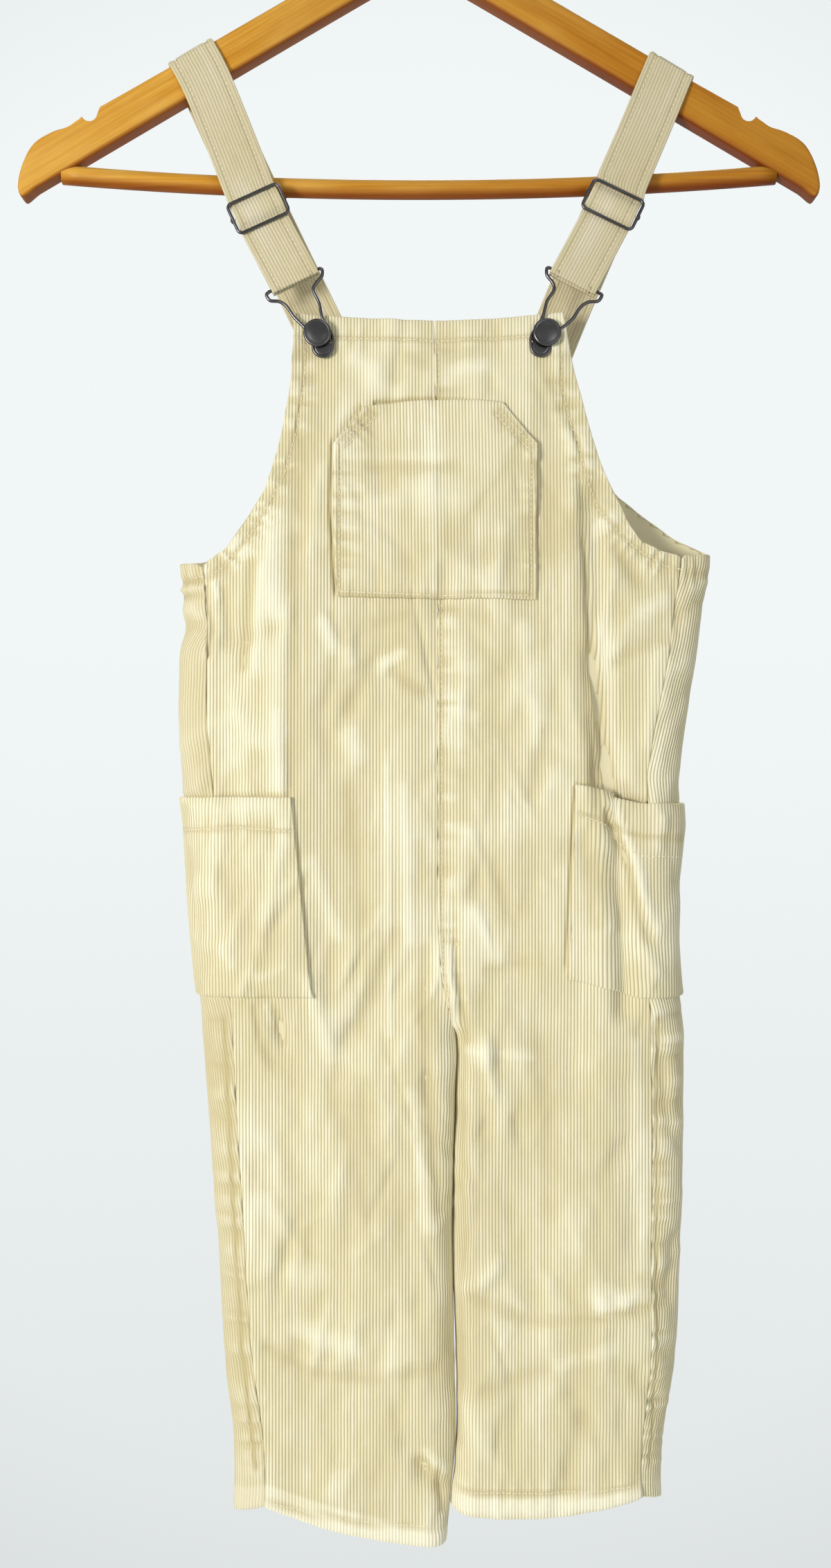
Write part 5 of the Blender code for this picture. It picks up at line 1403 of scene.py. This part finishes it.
def sew(name, runs, finish):
    """Stitches along runs of points and normals, as one mesh of short thick threads."""
    rng = np.random.default_rng(SEEDS["stitches"])
    rings, lifts, radii = np.array(STITCH_FORM).T
    centres, alongs, normals = [], [], []
    for points, facing in runs:
        lengths = run_along(points)
        start, end = (share * STITCH for share in STITCH_ENDS)
        at = np.arange(start, lengths[-1] - end, STITCH + STITCH_GAP)
        look = lambda values, where: np.stack([np.interp(where, lengths, values[:, k])
                                               for k in range(3)], axis=-1)
        centres.append(look(points, at))
        alongs.append(look(points, at + LINE_PROBE) - look(points, at - LINE_PROBE))
        normals.append(look(facing, at))
    centre, along = np.concatenate(centres), unit_rows(np.concatenate(alongs))
    normal = unit_rows(np.concatenate(normals))
    beside = unit_rows(np.cross(along, normal))
    turn = rng.normal(0.0, STITCH_TURN, len(centre))[:, None]
    along = unit_rows(along + turn * beside)
    angles = 2 * pi * np.arange(STITCH_SIDES) / STITCH_SIDES
    points = (centre[:, None, None] + (rings * STITCH)[None, :, None, None] * along[:, None, None]
              + (lifts * THREAD * 2.0)[None, :, None, None] * normal[:, None, None]
              + (radii * THREAD)[None, :, None, None]
              * (np.cos(angles)[None, None, :, None] * beside[:, None, None]
                 + np.sin(angles)[None, None, :, None] * normal[:, None, None]))
    *quads, start_cap, end_cap = ring_faces(len(rings), STITCH_SIDES)
    first = len(rings) * STITCH_SIDES * np.arange(len(centre))[:, None, None]
    quads = (np.array(quads) + first).reshape(-1, 4)
    caps = (np.array([start_cap, end_cap]) + first).reshape(-1, STITCH_SIDES)
    return mesh_object(name, points.reshape(-1, 3), quads.tolist() + caps.tolist(), finish)


def line_run(surface, find, line):
    """Points and normals close together along a line seen from the front or behind."""
    dense = spaced(line, np.linspace(0.0, 1.0, 60 + 6 * len(line)))
    places = [find(x, drop) for x, drop in dense]
    points, normal, _ = surface(*np.array(places).T)
    return points + STITCH_LIFT * PILE * normal, normal


# ---------------------------------------------------------------- wires and turned pieces

def joined(parts):
    """Points and faces of several meshes as one."""
    points, faces, count = [], [], 0
    for some, these in parts:
        points.append(np.asarray(some))
        faces += [tuple(int(corner) + count for corner in face) for face in these]
        count += len(some)
    return np.concatenate(points), faces


def ring_faces(rows, count, closed=False):
    """Faces round a stack of rings of so many points, with caps on its ends unless it is closed."""
    faces = []
    for row in range(rows if closed else rows - 1):
        after = (row + 1) % rows
        for k in range(count):
            beside = (k + 1) % count
            faces.append((row * count + k, row * count + beside,
                          after * count + beside, after * count + k))
    if not closed:
        faces.append(tuple(reversed(range(count))))
        faces.append(tuple(range((rows - 1) * count, rows * count)))
    return faces


def tube(path, radius, sides, closed=False):
    """A round wire along a path. radius is one value or one for each point of the path."""
    path = np.array(path)
    ahead = np.roll(path, -1, axis=0) - path
    behind = path - np.roll(path, 1, axis=0)
    if not closed:
        ahead[-1], behind[0] = behind[-1], ahead[0]
    tangents = unit_rows(unit_rows(ahead) + unit_rows(behind))
    radii = np.broadcast_to(radius, len(path))
    angles = 2 * pi * np.arange(sides) / sides
    side = unit(np.cross(tangents[0], (0.13, 0.97, 0.21)))
    points = []
    for point, tangent, size in zip(path, tangents, radii):
        side = unit(side - np.dot(side, tangent) * tangent)
        other = np.cross(tangent, side)
        ring = np.cos(angles)[:, None] * side + np.sin(angles)[:, None] * other
        points.append(point + size * ring)
    return np.concatenate(points), ring_faces(len(path), sides, closed)


def rounded(path, radius, sides, steps=4):
    """A wire with round ends."""
    path = np.array(path)
    start, end = unit(path[0] - path[1]), unit(path[-1] - path[-2])
    angles = np.linspace(0.0, pi / 2, steps + 1)[1:]
    caps = [np.array([point + radius * sin(angle) * way for angle in angles])
            for point, way in ((path[0], start), (path[-1], end))]
    tips = np.maximum(radius * np.cos(angles), 2 * THINNEST)
    radii = np.concatenate([tips[::-1], np.full(len(path), radius), tips])
    return tube(np.concatenate([caps[0][::-1], path, caps[1]]), radii, sides)


def turned(foot, axis, profile, sides):
    """A turned piece from (radius, distance along the axis) pairs."""
    path = [np.asarray(foot) + along * np.asarray(axis) for _, along in profile]
    side = unit(np.cross(axis, (0.31, 0.2, 0.93)))
    other = np.cross(axis, side)
    angles = 2 * pi * np.arange(sides) / sides
    ring = np.cos(angles)[:, None] * side + np.sin(angles)[:, None] * other
    points = np.concatenate([point + max(radius, THINNEST) * ring
                             for point, (radius, _) in zip(path, profile)])
    return points, ring_faces(len(profile), sides)


def bead(centre, axis, radius, length, sides=20):
    profile = [(radius * cos(angle), length * sin(angle))
               for angle in np.linspace(-pi / 2, pi / 2, 11)]
    return turned(centre, axis, profile, sides)


def fitted(name, parts, finish, slot, *replaced):
    points, faces = joined(parts)
    made = mesh_object(name, points, faces, finish)
    face_out(made)
    return finish_piece(made, replaced)


def slider(side, finish):
    """The wire frame, its middle bar and the round beads where the bar meets the frame."""
    x, drop, lean = SIDES[side]["slider"]
    centre = place(x, drop, SLIDER_Y)
    right = lean_vector(lean)
    up = np.cross((0.0, -1.0, 0.0), right)
    up = up * np.sign(up[2])
    path = []
    for corner, (u, v) in enumerate(((1, 1), (-1, 1), (-1, -1), (1, -1))):
        middle = (centre + u * (SLIDER_HALF_WIDTH - SLIDER_CORNER) * right
                  + v * (SLIDER_HALF_HEIGHT - SLIDER_CORNER) * up)
        path += arc(middle, right, up, SLIDER_CORNER, 90 * corner, 90 * corner + 90, 9)
    bar = place(x, drop, SLIDER_BAR_Y)
    ends = [bar + u * (SLIDER_HALF_WIDTH + SLIDER_BEAD_OUT) * right for u in (-1, 1)]
    parts = [tube(path, SLIDER_WIRE, 16, closed=True)]
    parts += [bead(end, right, *SLIDER_BEAD) for end in ends]
    fitted("slider_frame_" + side, parts, finish, "black_nickel", "slider_" + side)
    inner = [bar + u * (SLIDER_HALF_WIDTH - SLIDER_BAR_SHORT) * right for u in (-1, 0, 1)]
    fitted("slider_middle_" + side, [tube(inner, SLIDER_BAR, 12)], finish, "black_nickel",
           "slider_bar_" + side)


def clip(side, finish):
    """The wire in the strap's fold, with its two ears."""
    data = SIDES[side]
    fold_x, fold_drop, lean = data["strap_fold"]
    fold = place(fold_x, fold_drop, CLIP_Y)
    outward = lean_vector(lean) * data["sign"]
    reach_out = STRAP_WIDTH / 2 + CLIP_OVERHANG
    outer = [fold + reach_out * outward]
    outer += [place(x, drop, CLIP_Y) for x, drop in data["clip_outer"]]
    inner = [fold - reach_out * outward]
    inner += [place(x, drop, CLIP_Y) for x, drop in data["clip_inner"]]
    foot = place(*data["clip_foot"], CLIP_Y)
    loop = arc(foot, data["sign"] * RIGHT, UP, CLIP_FOOT_RADIUS, 0, -180, 11)
    path = eased(outer + loop + inner[::-1], 6)
    fitted("clip_wire_" + side, [tube(path, CLIP_WIRE, 14, closed=True)], finish, "black_nickel",
           "clip_" + side)


def keyhole_plate(side, finish):
    """The plate in the clip's foot, behind the button, with the nub below its slot."""
    data = SIDES[side]
    foot, shank = place(*data["clip_foot"], CLIP_Y), place(*data["button"], CLIP_Y)
    towards = unit(shank - foot)
    beside = np.cross(towards, (0.0, 1.0, 0.0))
    short = CLIP_FOOT_RADIUS - CLIP_WIRE * PLATE_LAP
    tall = np.linalg.norm(shank - foot) - BUTTON_SHANK - SEAM_GAP
    rows = []
    for inset, y in PLATE_PROFILE:
        rows.append([foot + np.array((0.0, y * PLATE_THICK, 0.0))
                     + (short - inset) * cos(angle) * beside
                     + ((tall if sin(angle) > 0 else short) - inset) * sin(angle) * towards
                     for angle in np.linspace(0.0, 2 * pi, PLATE_SIDES, endpoint=False)])
    faces = ring_faces(len(rows), PLATE_SIDES)
    nub = foot + np.array((-data["sign"] * PLATE_NUB[0], 0.0, PLATE_NUB[1]))
    fitted("clip_keyhole_" + side, [(np.concatenate(rows), faces), bead(nub, UP, *NUB_SIZE)],
           finish, "black_nickel", "clip_plate_" + side)


def button(side, half, finish):
    """A shank button with a plain domed face inside a low rim."""
    x, drop = SIDES[side]["button"]
    surface = half.points(half.way_at(x, drop), drop)[1]
    foot = place(x, drop, surface - SEAM_GAP)
    parts = [turned(foot, (0.0, -1.0, 0.0), BUTTON_FACE, 48)]
    fitted("button_cap_" + side, parts, finish, "black_nickel", "button_" + side)


# ---------------------------------------------------------------- hanger

def fine_outline():
    """The arms' outline from the front, closed, with enough points for its curves."""
    upper = np.concatenate([np.linspace(0.0, 30.0, 16),
                            np.linspace(36.0, NOTCH_X - NOTCH_RADIUS - NOTCH_SIDES[0], 12)])
    half = [(x, arm_top(x)) for x in upper]
    for angle in np.radians(np.linspace(*NOTCH_ARC, 15)):
        half.append((NOTCH_X + NOTCH_RADIUS * cos(angle),
                     arm_top(NOTCH_X) - NOTCH_RADIUS * sin(angle)))
    shoulder = [(x, arm_top(x)) for x in (NOTCH_X + NOTCH_RADIUS + NOTCH_SIDES[1], ARM_SHOULDER)]
    tip = shoulder + list(ARM_TIP) + [(ARM_LOWER[0], arm_underside(ARM_LOWER[0]))]
    half += [tuple(point) for point in eased(tip, 5)]
    lower = np.concatenate([np.linspace(ARM_LOWER[1], 30.0, 14), np.linspace(26.0, 0.0, 14)])
    half += [(x, arm_underside(x)) for x in lower]
    outline = half + [(-x, drop) for x, drop in reversed(half[1:-1])]
    return np.array([(x, -drop) for x, drop in outline])


def board_edge(outline):
    """At each point of the outline, the way into the board and the radius its edge is rounded by:
    less inside sharp bends and at the notches."""
    onward = np.roll(outline, -1, axis=0) - outline
    from_last = outline - np.roll(outline, 1, axis=0)
    ahead, behind = unit_rows(onward), unit_rows(from_last)
    along = unit_rows(ahead + behind)
    inward = np.stack([along[:, 1], -along[:, 0]], axis=-1)
    turn = np.arctan2(behind[:, 0] * ahead[:, 1] - behind[:, 1] * ahead[:, 0],
                      np.sum(ahead * behind, axis=-1))
    spacing = 0.5 * (np.linalg.norm(onward, axis=1) + np.linalg.norm(from_last, axis=1))
    inside_bend = 0.6 * spacing / np.maximum(-turn, 0.01)
    edge = np.minimum(ARM_EDGE, np.maximum(inside_bend, LEAST_EDGE))
    notch = np.hypot(np.abs(outline[:, 0]) - NOTCH_X, outline[:, 1] + arm_top(NOTCH_X))
    edge = np.minimum(edge, NOTCH_EDGE + np.maximum(notch - NOTCH_ROOM, 0.0) * NOTCH_RATE)
    for _ in range(6):
        edge = np.minimum(edge, 0.5 * (np.roll(edge, 1) + np.roll(edge, -1)) + EDGE_EASE)
    return inward, edge


def hanger_arms(finish):
    """A flat board cut to the outline, with its edges rounded over."""
    outline = fine_outline()
    inward, edge = board_edge(outline)
    rings = []
    for edge_y, angles in ((-1.0, np.linspace(90.0, 0.0, 7)), (1.0, np.linspace(0.0, 90.0, 7))):
        for angle in np.radians(angles):
            flat = outline + (edge * (1.0 - cos(angle)))[:, None] * inward
            y = edge_y * (ARM_THICK / 2 - edge * (1.0 - sin(angle)))
            rings.append(np.stack([flat[:, 0], y, flat[:, 1]], axis=-1))
    points = np.concatenate(rings)
    made = mesh_object("hanger_board", points, ring_faces(len(rings), len(outline)), finish)
    face_out(made)
    slope = np.arctan(ARM_SLOPE)
    run, rise = np.abs(points[:, 0]), points[:, 2]
    across = run * sin(slope) + rise * cos(slope) + GRAIN_APART["right_arm"] * (points[:, 0] > 0)
    store(made, "grain", np.stack([run * cos(slope) - rise * sin(slope), across, points[:, 1]],
                                  axis=-1))
    return finish_piece(made, ("hanger_arms",))


def trouser_bar(finish):
    """The whole round bar, sagging to its middle, let a little into both arms."""
    end = (BAR_DROP - ARM_APEX - ARM_DEEP) / ARM_SLOPE + BAR_LET_IN
    path = [place(share * end, BAR_DROP + BAR_SAG * (1.0 - share ** 2), 0.0)
            for share in np.linspace(-1.0, 1.0, 41)]
    points, faces = tube(path, BAR_RADIUS, 32)
    made = mesh_object("trouser_bar", points, faces, finish)
    face_out(made)
    store(made, "grain", points[:, [0, 2, 1]] + (0.0, GRAIN_APART["bar"], 0.0))
    return finish_piece(made, ("trouser_bar_left", "trouser_bar_right"))


def hook(finish):
    """A wire from the arms' top, bent out and over in an open circle."""
    centre = place(0.0, HOOK_INSIDE)
    circle = arc(centre, RIGHT, UP, HOOK_INSIDE + HOOK_WIRE, HOOK_START, HOOK_END, 70)
    start, one, two = (place(*point) for point in HOOK_BEND)
    bend = [(1 - t) ** 3 * start + 3 * (1 - t) ** 2 * t * one + 3 * (1 - t) * t ** 2 * two
            + t ** 3 * circle[0] for t in np.linspace(0.0, 1.0, 24)]
    foot = place(0.0, arm_top(0.0) + 1.0)
    fitted("hook_wire", [rounded([foot] + bend + circle[1:], HOOK_WIRE, 20)], finish, "chrome",
           "hanger_hook")


# ---------------------------------------------------------------- finishes

class Nodes:
    """A material's node tree, written as one call a node."""

    def __init__(self, name):
        self.material = bpy.data.materials.new(name)
        self.material.use_nodes = True
        self.tree = self.material.node_tree
        self.shader = self.tree.nodes["Principled BSDF"]

    def set(self, socket, value):
        if isinstance(value, bpy.types.NodeSocket):
            self.tree.links.new(value, socket)
        else:
            socket.default_value = value

    def add(self, kind, inputs=(), out=0, **settings):
        node = self.tree.nodes.new(kind)
        for key, value in settings.items():
            setattr(node, key, value)
        for key, value in dict(inputs).items():
            self.set(node.inputs[key], value)
        return node.outputs[out]

    def attribute(self, name):
        return self.add("ShaderNodeAttribute", attribute_name=name, out=1)

    def split(self, vector):
        node = self.tree.nodes.new("ShaderNodeSeparateXYZ")
        self.set(node.inputs[0], vector)
        return node.outputs

    def vector(self, x, y, z):
        return self.add("ShaderNodeCombineXYZ", {0: x, 1: y, 2: z})

    def math(self, operation, a, b=0.0, c=0.0):
        return self.add("ShaderNodeMath", {0: a, 1: b, 2: c}, operation=operation)

    def times(self, value, factor):
        return self.math("MULTIPLY", value, factor)

    def span(self, value, low, high, start=0.0, end=1.0):
        return self.add("ShaderNodeMapRange", {0: value, 1: low, 2: high, 3: start, 4: end})

    def noise(self, vector, scale, detail=2.0, rough=0.5):
        return self.add("ShaderNodeTexNoise", {"Vector": vector, "Scale": scale, "Detail": detail,
                                               "Roughness": rough})

    def pattern(self, u, v, third, per_mm, detail=2.0, rough=0.5):
        """Noise over u and v, with how much of it passes in a millimetre of each."""
        at = self.vector(self.times(u, per_mm[0]), self.times(v, per_mm[1]), third)
        return self.noise(at, 1.0, detail, rough)

    def mix(self, share, a, b, blend="MIX"):
        colours = [(*colour, 1.0) if isinstance(colour, tuple) else colour for colour in (a, b)]
        return self.add("ShaderNodeMix", {0: share, 6: colours[0], 7: colours[1]}, out=2,
                        data_type="RGBA", blend_type=blend)

    def tinted(self, value, colour):
        return self.mix(1.0, value, linear(*colour), "MULTIPLY")

    def bump(self, height, distance, strength=1.0):
        return self.add("ShaderNodeBump", {"Height": height, "Distance": distance * MM,
                                           "Strength": strength})

    def surface(self, **inputs):
        for key, value in inputs.items():
            self.set(self.shader.inputs[key.replace("_", " ")], value)
        return self.material


def linear(red, green, blue):
    """A colour given in screen values from 0 to 255."""
    values = [value / 255.0 for value in (red, green, blue)]
    return tuple(value / 12.92 if value <= 0.04045 else ((value + 0.055) / 1.055) ** 2.4
                 for value in values)


def corduroy_finish():
    """Cut pile: pale along the tops of the wales, tan in the grooves with painted shade, plain
    weave inside; painted shade in troughs and beside stitches, painted highlight on ridges.
    """
    n = Nodes("corduroy")
    w, level, height = n.split(n.attribute("cloth"))
    # tone: painted shade, the height painted as shade and highlight, and whether it is a strap
    painted_shade, crease, strap = n.split(n.attribute("tone"))
    wale = n.math("FLOOR", n.math("DIVIDE", w, PITCH))
    by_wale = n.pattern(wale, level, 0.0, BY_WALE, 1.0)
    cloud = n.pattern(w, level, 2.0, CLOUD, 3.0, 0.6)
    fuzz = n.pattern(w, level, 5.0, FUZZ, 2.0, 0.7)
    rows = n.pattern(w, level, 8.0, PILE_ROWS)
    top = n.mix(n.span(cloud, 0.3, 0.7), linear(*TOP_SHADED), linear(*TOP_BRIGHT))
    top = n.mix(n.span(by_wale, 0.35, 0.65), top, linear(*TOP_WARM))
    depth = n.math("ADD", height, n.span(fuzz, 0.0, 1.0, -FUZZ_DEEP, FUZZ_DEEP))
    # darker in the grooves: the cloth's own tan there, with painted shade
    pile = n.mix(n.span(depth, 0.02, 0.8), linear(*GROOVE), top)
    # painted shade in troughs and painted highlight on ridges and hems
    pile = n.mix(n.span(crease, -1.5, 0.3, TROUGH_SHADE, 0.0), pile, linear(*PAINTED_SHADE_COLOUR))
    pile = n.mix(n.span(crease, 0.0, 1.4, 0.0, RIDGE_HIGHLIGHT), pile, linear(*PAINTED_HIGHLIGHT_COLOUR))
    # painted shade beside stitches and on the left side strip
    pile = n.mix(n.times(painted_shade, SEWN_SHADE), pile, linear(*PAINTED_SHADE_COLOUR))
    pile = n.mix(n.times(strap, STRAP_FLAT), pile, top)
    pile = n.mix(n.times(strap, STRAP_TINTED), pile, n.tinted(pile, STRAP_TINT))
    warp, weft = (n.math("SINE", n.times(value, WEAVE)) for value in (w, level))
    weave = n.times(warp, weft)
    inside = n.mix(n.span(weave, -1.0, 1.0), linear(*INSIDE_DARK), linear(*INSIDE))
    is_pile = n.span(height, -0.6, -0.1)
    colour = n.mix(is_pile, inside, pile)
    relief = n.math("ADD", n.times(fuzz, 0.7), n.times(rows, 0.5))
    return n.surface(Base_Color=colour, Roughness=0.92, Specular_IOR_Level=0.12,
                     Sheen_Weight=0.35, Sheen_Roughness=0.5, Sheen_Tint=(*linear(*SHEEN), 1.0),
                     Normal=n.bump(relief, 0.16, 0.8))


def thread_finish():
    n = Nodes("cream_thread")
    place_on = n.add("ShaderNodeTexCoord", out=3)
    twist = n.noise(place_on, 1600.0, 1.0)
    colour = n.mix(twist, linear(*THREAD_SHADED), linear(*THREAD_BRIGHT))
    return n.surface(Base_Color=colour, Roughness=0.75, Specular_IOR_Level=0.2, Sheen_Weight=0.2)


def wood_finish():
    """Honey-coloured wood under satin lacquer, with its grain along each piece; painted shade on
    faces turned down and a painted highlight on faces turned up.
    """
    n = Nodes("honey_wood")
    run, across, y = n.split(n.attribute("grain"))
    wave = n.noise(n.vector(n.times(run, 0.02), across, y), 0.05)
    wavy = n.math("ADD", across, n.span(wave, 0.0, 1.0, -WAVE, WAVE))
    streak = n.pattern(run, wavy, n.times(y, 0.3), STREAKS, 4.0, 0.6)
    pores = n.pattern(run, wavy, y, PORES)
    blot = n.pattern(run, wavy, 3.0, BLOTS)
    colour = n.mix(n.span(streak, 0.32, 0.68), linear(*WOOD_DARK), linear(*WOOD_LIGHT))
    colour = n.mix(n.span(blot, 0.35, 0.7, 0.0, 0.45), colour, linear(*WOOD_PALE))
    colour = n.mix(n.span(pores, 0.58, 0.75, 0.0, 0.25), colour, linear(*WOOD_PORE))
    side = n.split(n.add("ShaderNodeTexCoord", out=3))[0]
    colour = n.mix(n.span(side, -0.14, 0.14, 0.0, 0.75), colour, n.tinted(colour, WOOD_TINT))
    # painted shade on faces turned down, painted highlight on faces turned up
    facing_up = n.split(n.add("ShaderNodeTexCoord", out=1))[2]
    under = n.span(facing_up, -0.15, -0.8, 0.0, 0.9)
    colour = n.mix(under, colour, n.tinted(colour, WOOD_UNDER_SHADE))
    colour = n.mix(n.span(facing_up, 0.3, 0.9, 0.0, 0.5), colour, linear(*WOOD_PALE))
    return n.surface(Base_Color=colour, Roughness=0.5, Specular_IOR_Level=0.2, Coat_Weight=0.06,
                     Coat_Roughness=0.3, Normal=n.bump(pores, 0.05, 0.35))


def metal_finish(name, colour, rough):
    n = Nodes(name)
    place_on = n.add("ShaderNodeTexCoord", out=3)
    smear = n.noise(place_on, 70.0, 2.0)
    return n.surface(Base_Color=(*colour, 1.0), Metallic=1.0,
                     Roughness=n.span(smear, 0.3, 0.7, rough * 0.75, rough * 1.3))


def plain_finish(name, colour, rough):
    n = Nodes(name)
    place_on = n.add("ShaderNodeTexCoord", out=3)
    fine = n.noise(place_on, 60.0, 3.0)
    tone = n.mix(n.span(fine, 0.3, 0.7), colour, tuple(0.97 * value for value in colour))
    return n.surface(Base_Color=tone, Roughness=rough, Specular_IOR_Level=0.2)


# ---------------------------------------------------------------- room

def area_light(name, where, towards, size, power, colour):
    data = bpy.data.lights.new(name, "AREA")
    data.shape = "RECTANGLE"
    data.size, data.size_y = size
    data.energy = power
    data.color = colour
    made = bpy.data.objects.new(name, data)
    made.location = where
    aim = np.array(towards) - np.array(where)
    made.rotation_euler = Vector(aim).to_track_quat("-Z", "Y").to_euler()
    bpy.context.collection.objects.link(made)


def floor(finish):
    """A round pale floor below the garment."""
    angles = np.linspace(0.0, 2 * pi, FLOOR_SIDES, endpoint=False)
    rim = [(FLOOR_RADIUS * cos(angle), FLOOR_RADIUS * sin(angle), -FLOOR_DROP)
           for angle in angles]
    mesh_object("floor", rim, [tuple(range(FLOOR_SIDES))], finish, smooth=False)


def world():
    """A pale room, brightest behind the garment."""
    sky = bpy.data.worlds.new("pale_room")
    sky.use_nodes = True
    tree = sky.node_tree
    place_on = tree.nodes.new("ShaderNodeTexCoord")
    parts = tree.nodes.new("ShaderNodeSeparateXYZ")
    tree.links.new(place_on.outputs["Generated"], parts.inputs[0])
    product = tree.nodes.new("ShaderNodeMath")
    product.operation = "MULTIPLY"
    for k, (axis, values) in enumerate((("Y", ROOM_STRENGTH), ("Z", ROOM_RISE))):
        share = tree.nodes.new("ShaderNodeMapRange")
        tree.links.new(parts.outputs[axis], share.inputs[0])
        for socket, value in zip(share.inputs[1:5], values):
            socket.default_value = value
        tree.links.new(share.outputs[0], product.inputs[k])
    background = tree.nodes["Background"]
    background.inputs["Color"].default_value = (*ROOM, 1.0)
    tree.links.new(product.outputs[0], background.inputs["Strength"])
    bpy.context.scene.world = sky


def camera():
    data = bpy.data.cameras.new("camera")
    data.lens = LENS
    data.sensor_width = 36.0
    made = bpy.data.objects.new("camera", data)
    made.location = CAMERA
    made.rotation_euler = (pi / 2, 0.0, 0.0)
    bpy.context.collection.objects.link(made)
    bpy.context.scene.camera = made
    bpy.context.scene.render.resolution_x, bpy.context.scene.render.resolution_y = PICTURE


# ---------------------------------------------------------------- the whole

def stitch_runs(name, surface, find):
    return [line_run(surface, find, line) for line, _, _ in SEWN.get(name, ())]


def pocket_find(panels):
    """The w and level on the bib pocket of a place seen from the front."""
    def find(x, drop):
        half = panels[int(x > np.interp(drop, DROPS, panels[1].half.inner))].half
        return half.sign * reach(half, x, drop), drop
    return find


def side_pocket_find(front):
    half = front.half

    def find(x, drop):
        return reach(half, x, drop) - front.grain_at(drop), drop
    return find


def cut(panel):
    """The flat width, length and area of a panel's cloth, in metres."""
    widths = panel.far - panel.near + 2.0 * TURN
    return (widths.max() * MM, (panel.foot - panel.top) * MM), float(widths.sum()) * MM * MM


def sewn_panels(panels, finish):
    """The fronts and backs, and the runs of their stitches."""
    pieces, runs = [], []
    for panel in panels:
        made = panel.build(finish, FINE_LEVELS[panel.name])
        pieces.append(finish_piece(made, (panel.name,)))
        runs += stitch_runs(panel.name, panel.surface, panel.find)
    for made, panel in zip(pieces, panels):
        flat, area = cut(panel)
        min(area, flat[0] * flat[1])
    return pieces, runs


def sewn_pockets(fronts, front_pieces, finish):
    """The three patch pockets on the fronts, and the runs of their stitches."""
    pocket, surface = bib_pocket(fronts, finish)
    finish_piece(pocket, ("bib_pocket",))
    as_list(front_pieces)
    runs = stitch_runs("bib_pocket", surface, pocket_find(fronts))
    for front in fronts:
        side = front.half.side
        pocket, surface = side_pocket(front, finish)
        finish_piece(pocket, ("side_pocket_" + side,))
        runs += stitch_runs("side_pocket_" + side, surface, side_pocket_find(front))
    return runs


def sewn_strap(half, finish):
    """A strap over the hanger, and the runs of its two lines of stitches."""
    strap = Strap(half.side, half)
    made = finish_piece(strap.build(finish), ("strap_" + half.side,))
    start, end, step = STRAP_SEAM
    levels = np.arange(start, strap.length - end, step)
    runs = []
    for edge in (-STRAP_SEWN, STRAP_SEWN):
        points, normal, _ = strap.surface(np.full(len(levels), edge), levels)
        runs.append((points + STITCH_LIFT * PILE * normal, normal))
    return runs


def garment(halves):
    """The overalls, with their straps and fittings."""
    finish = corduroy_finish()
    thread = thread_finish()
    nickel = metal_finish("black_nickel", *NICKEL)
    relief = Relief()
    fronts = [Panel(half, False, relief) for half in halves]
    backs = [Panel(half, True, relief) for half in halves]
    pieces, runs = sewn_panels(fronts + backs, finish)
    runs += sewn_pockets(fronts, pieces[:2], finish)
    for half in halves:
        runs += sewn_strap(half, finish)
        slider(half.side, nickel)
        clip(half.side, nickel)
        keyhole_plate(half.side, nickel)
        button(half.side, half, nickel)
    finish_piece(sew("topstitching", runs, thread))


def hanger():
    wood = wood_finish()
    hanger_arms(wood)
    trouser_bar(wood)
    hook(metal_finish("chrome", *CHROME))


def room():
    floor(plain_finish("pale_floor", FLOOR_TONE, FLOOR_ROUGH))
    world()
    camera()
    for light in LIGHTS:
        area_light(*light)
    bpy.context.scene.view_settings.view_transform = "Standard"


garment([Half("left"), Half("right")])
hanger()
room()
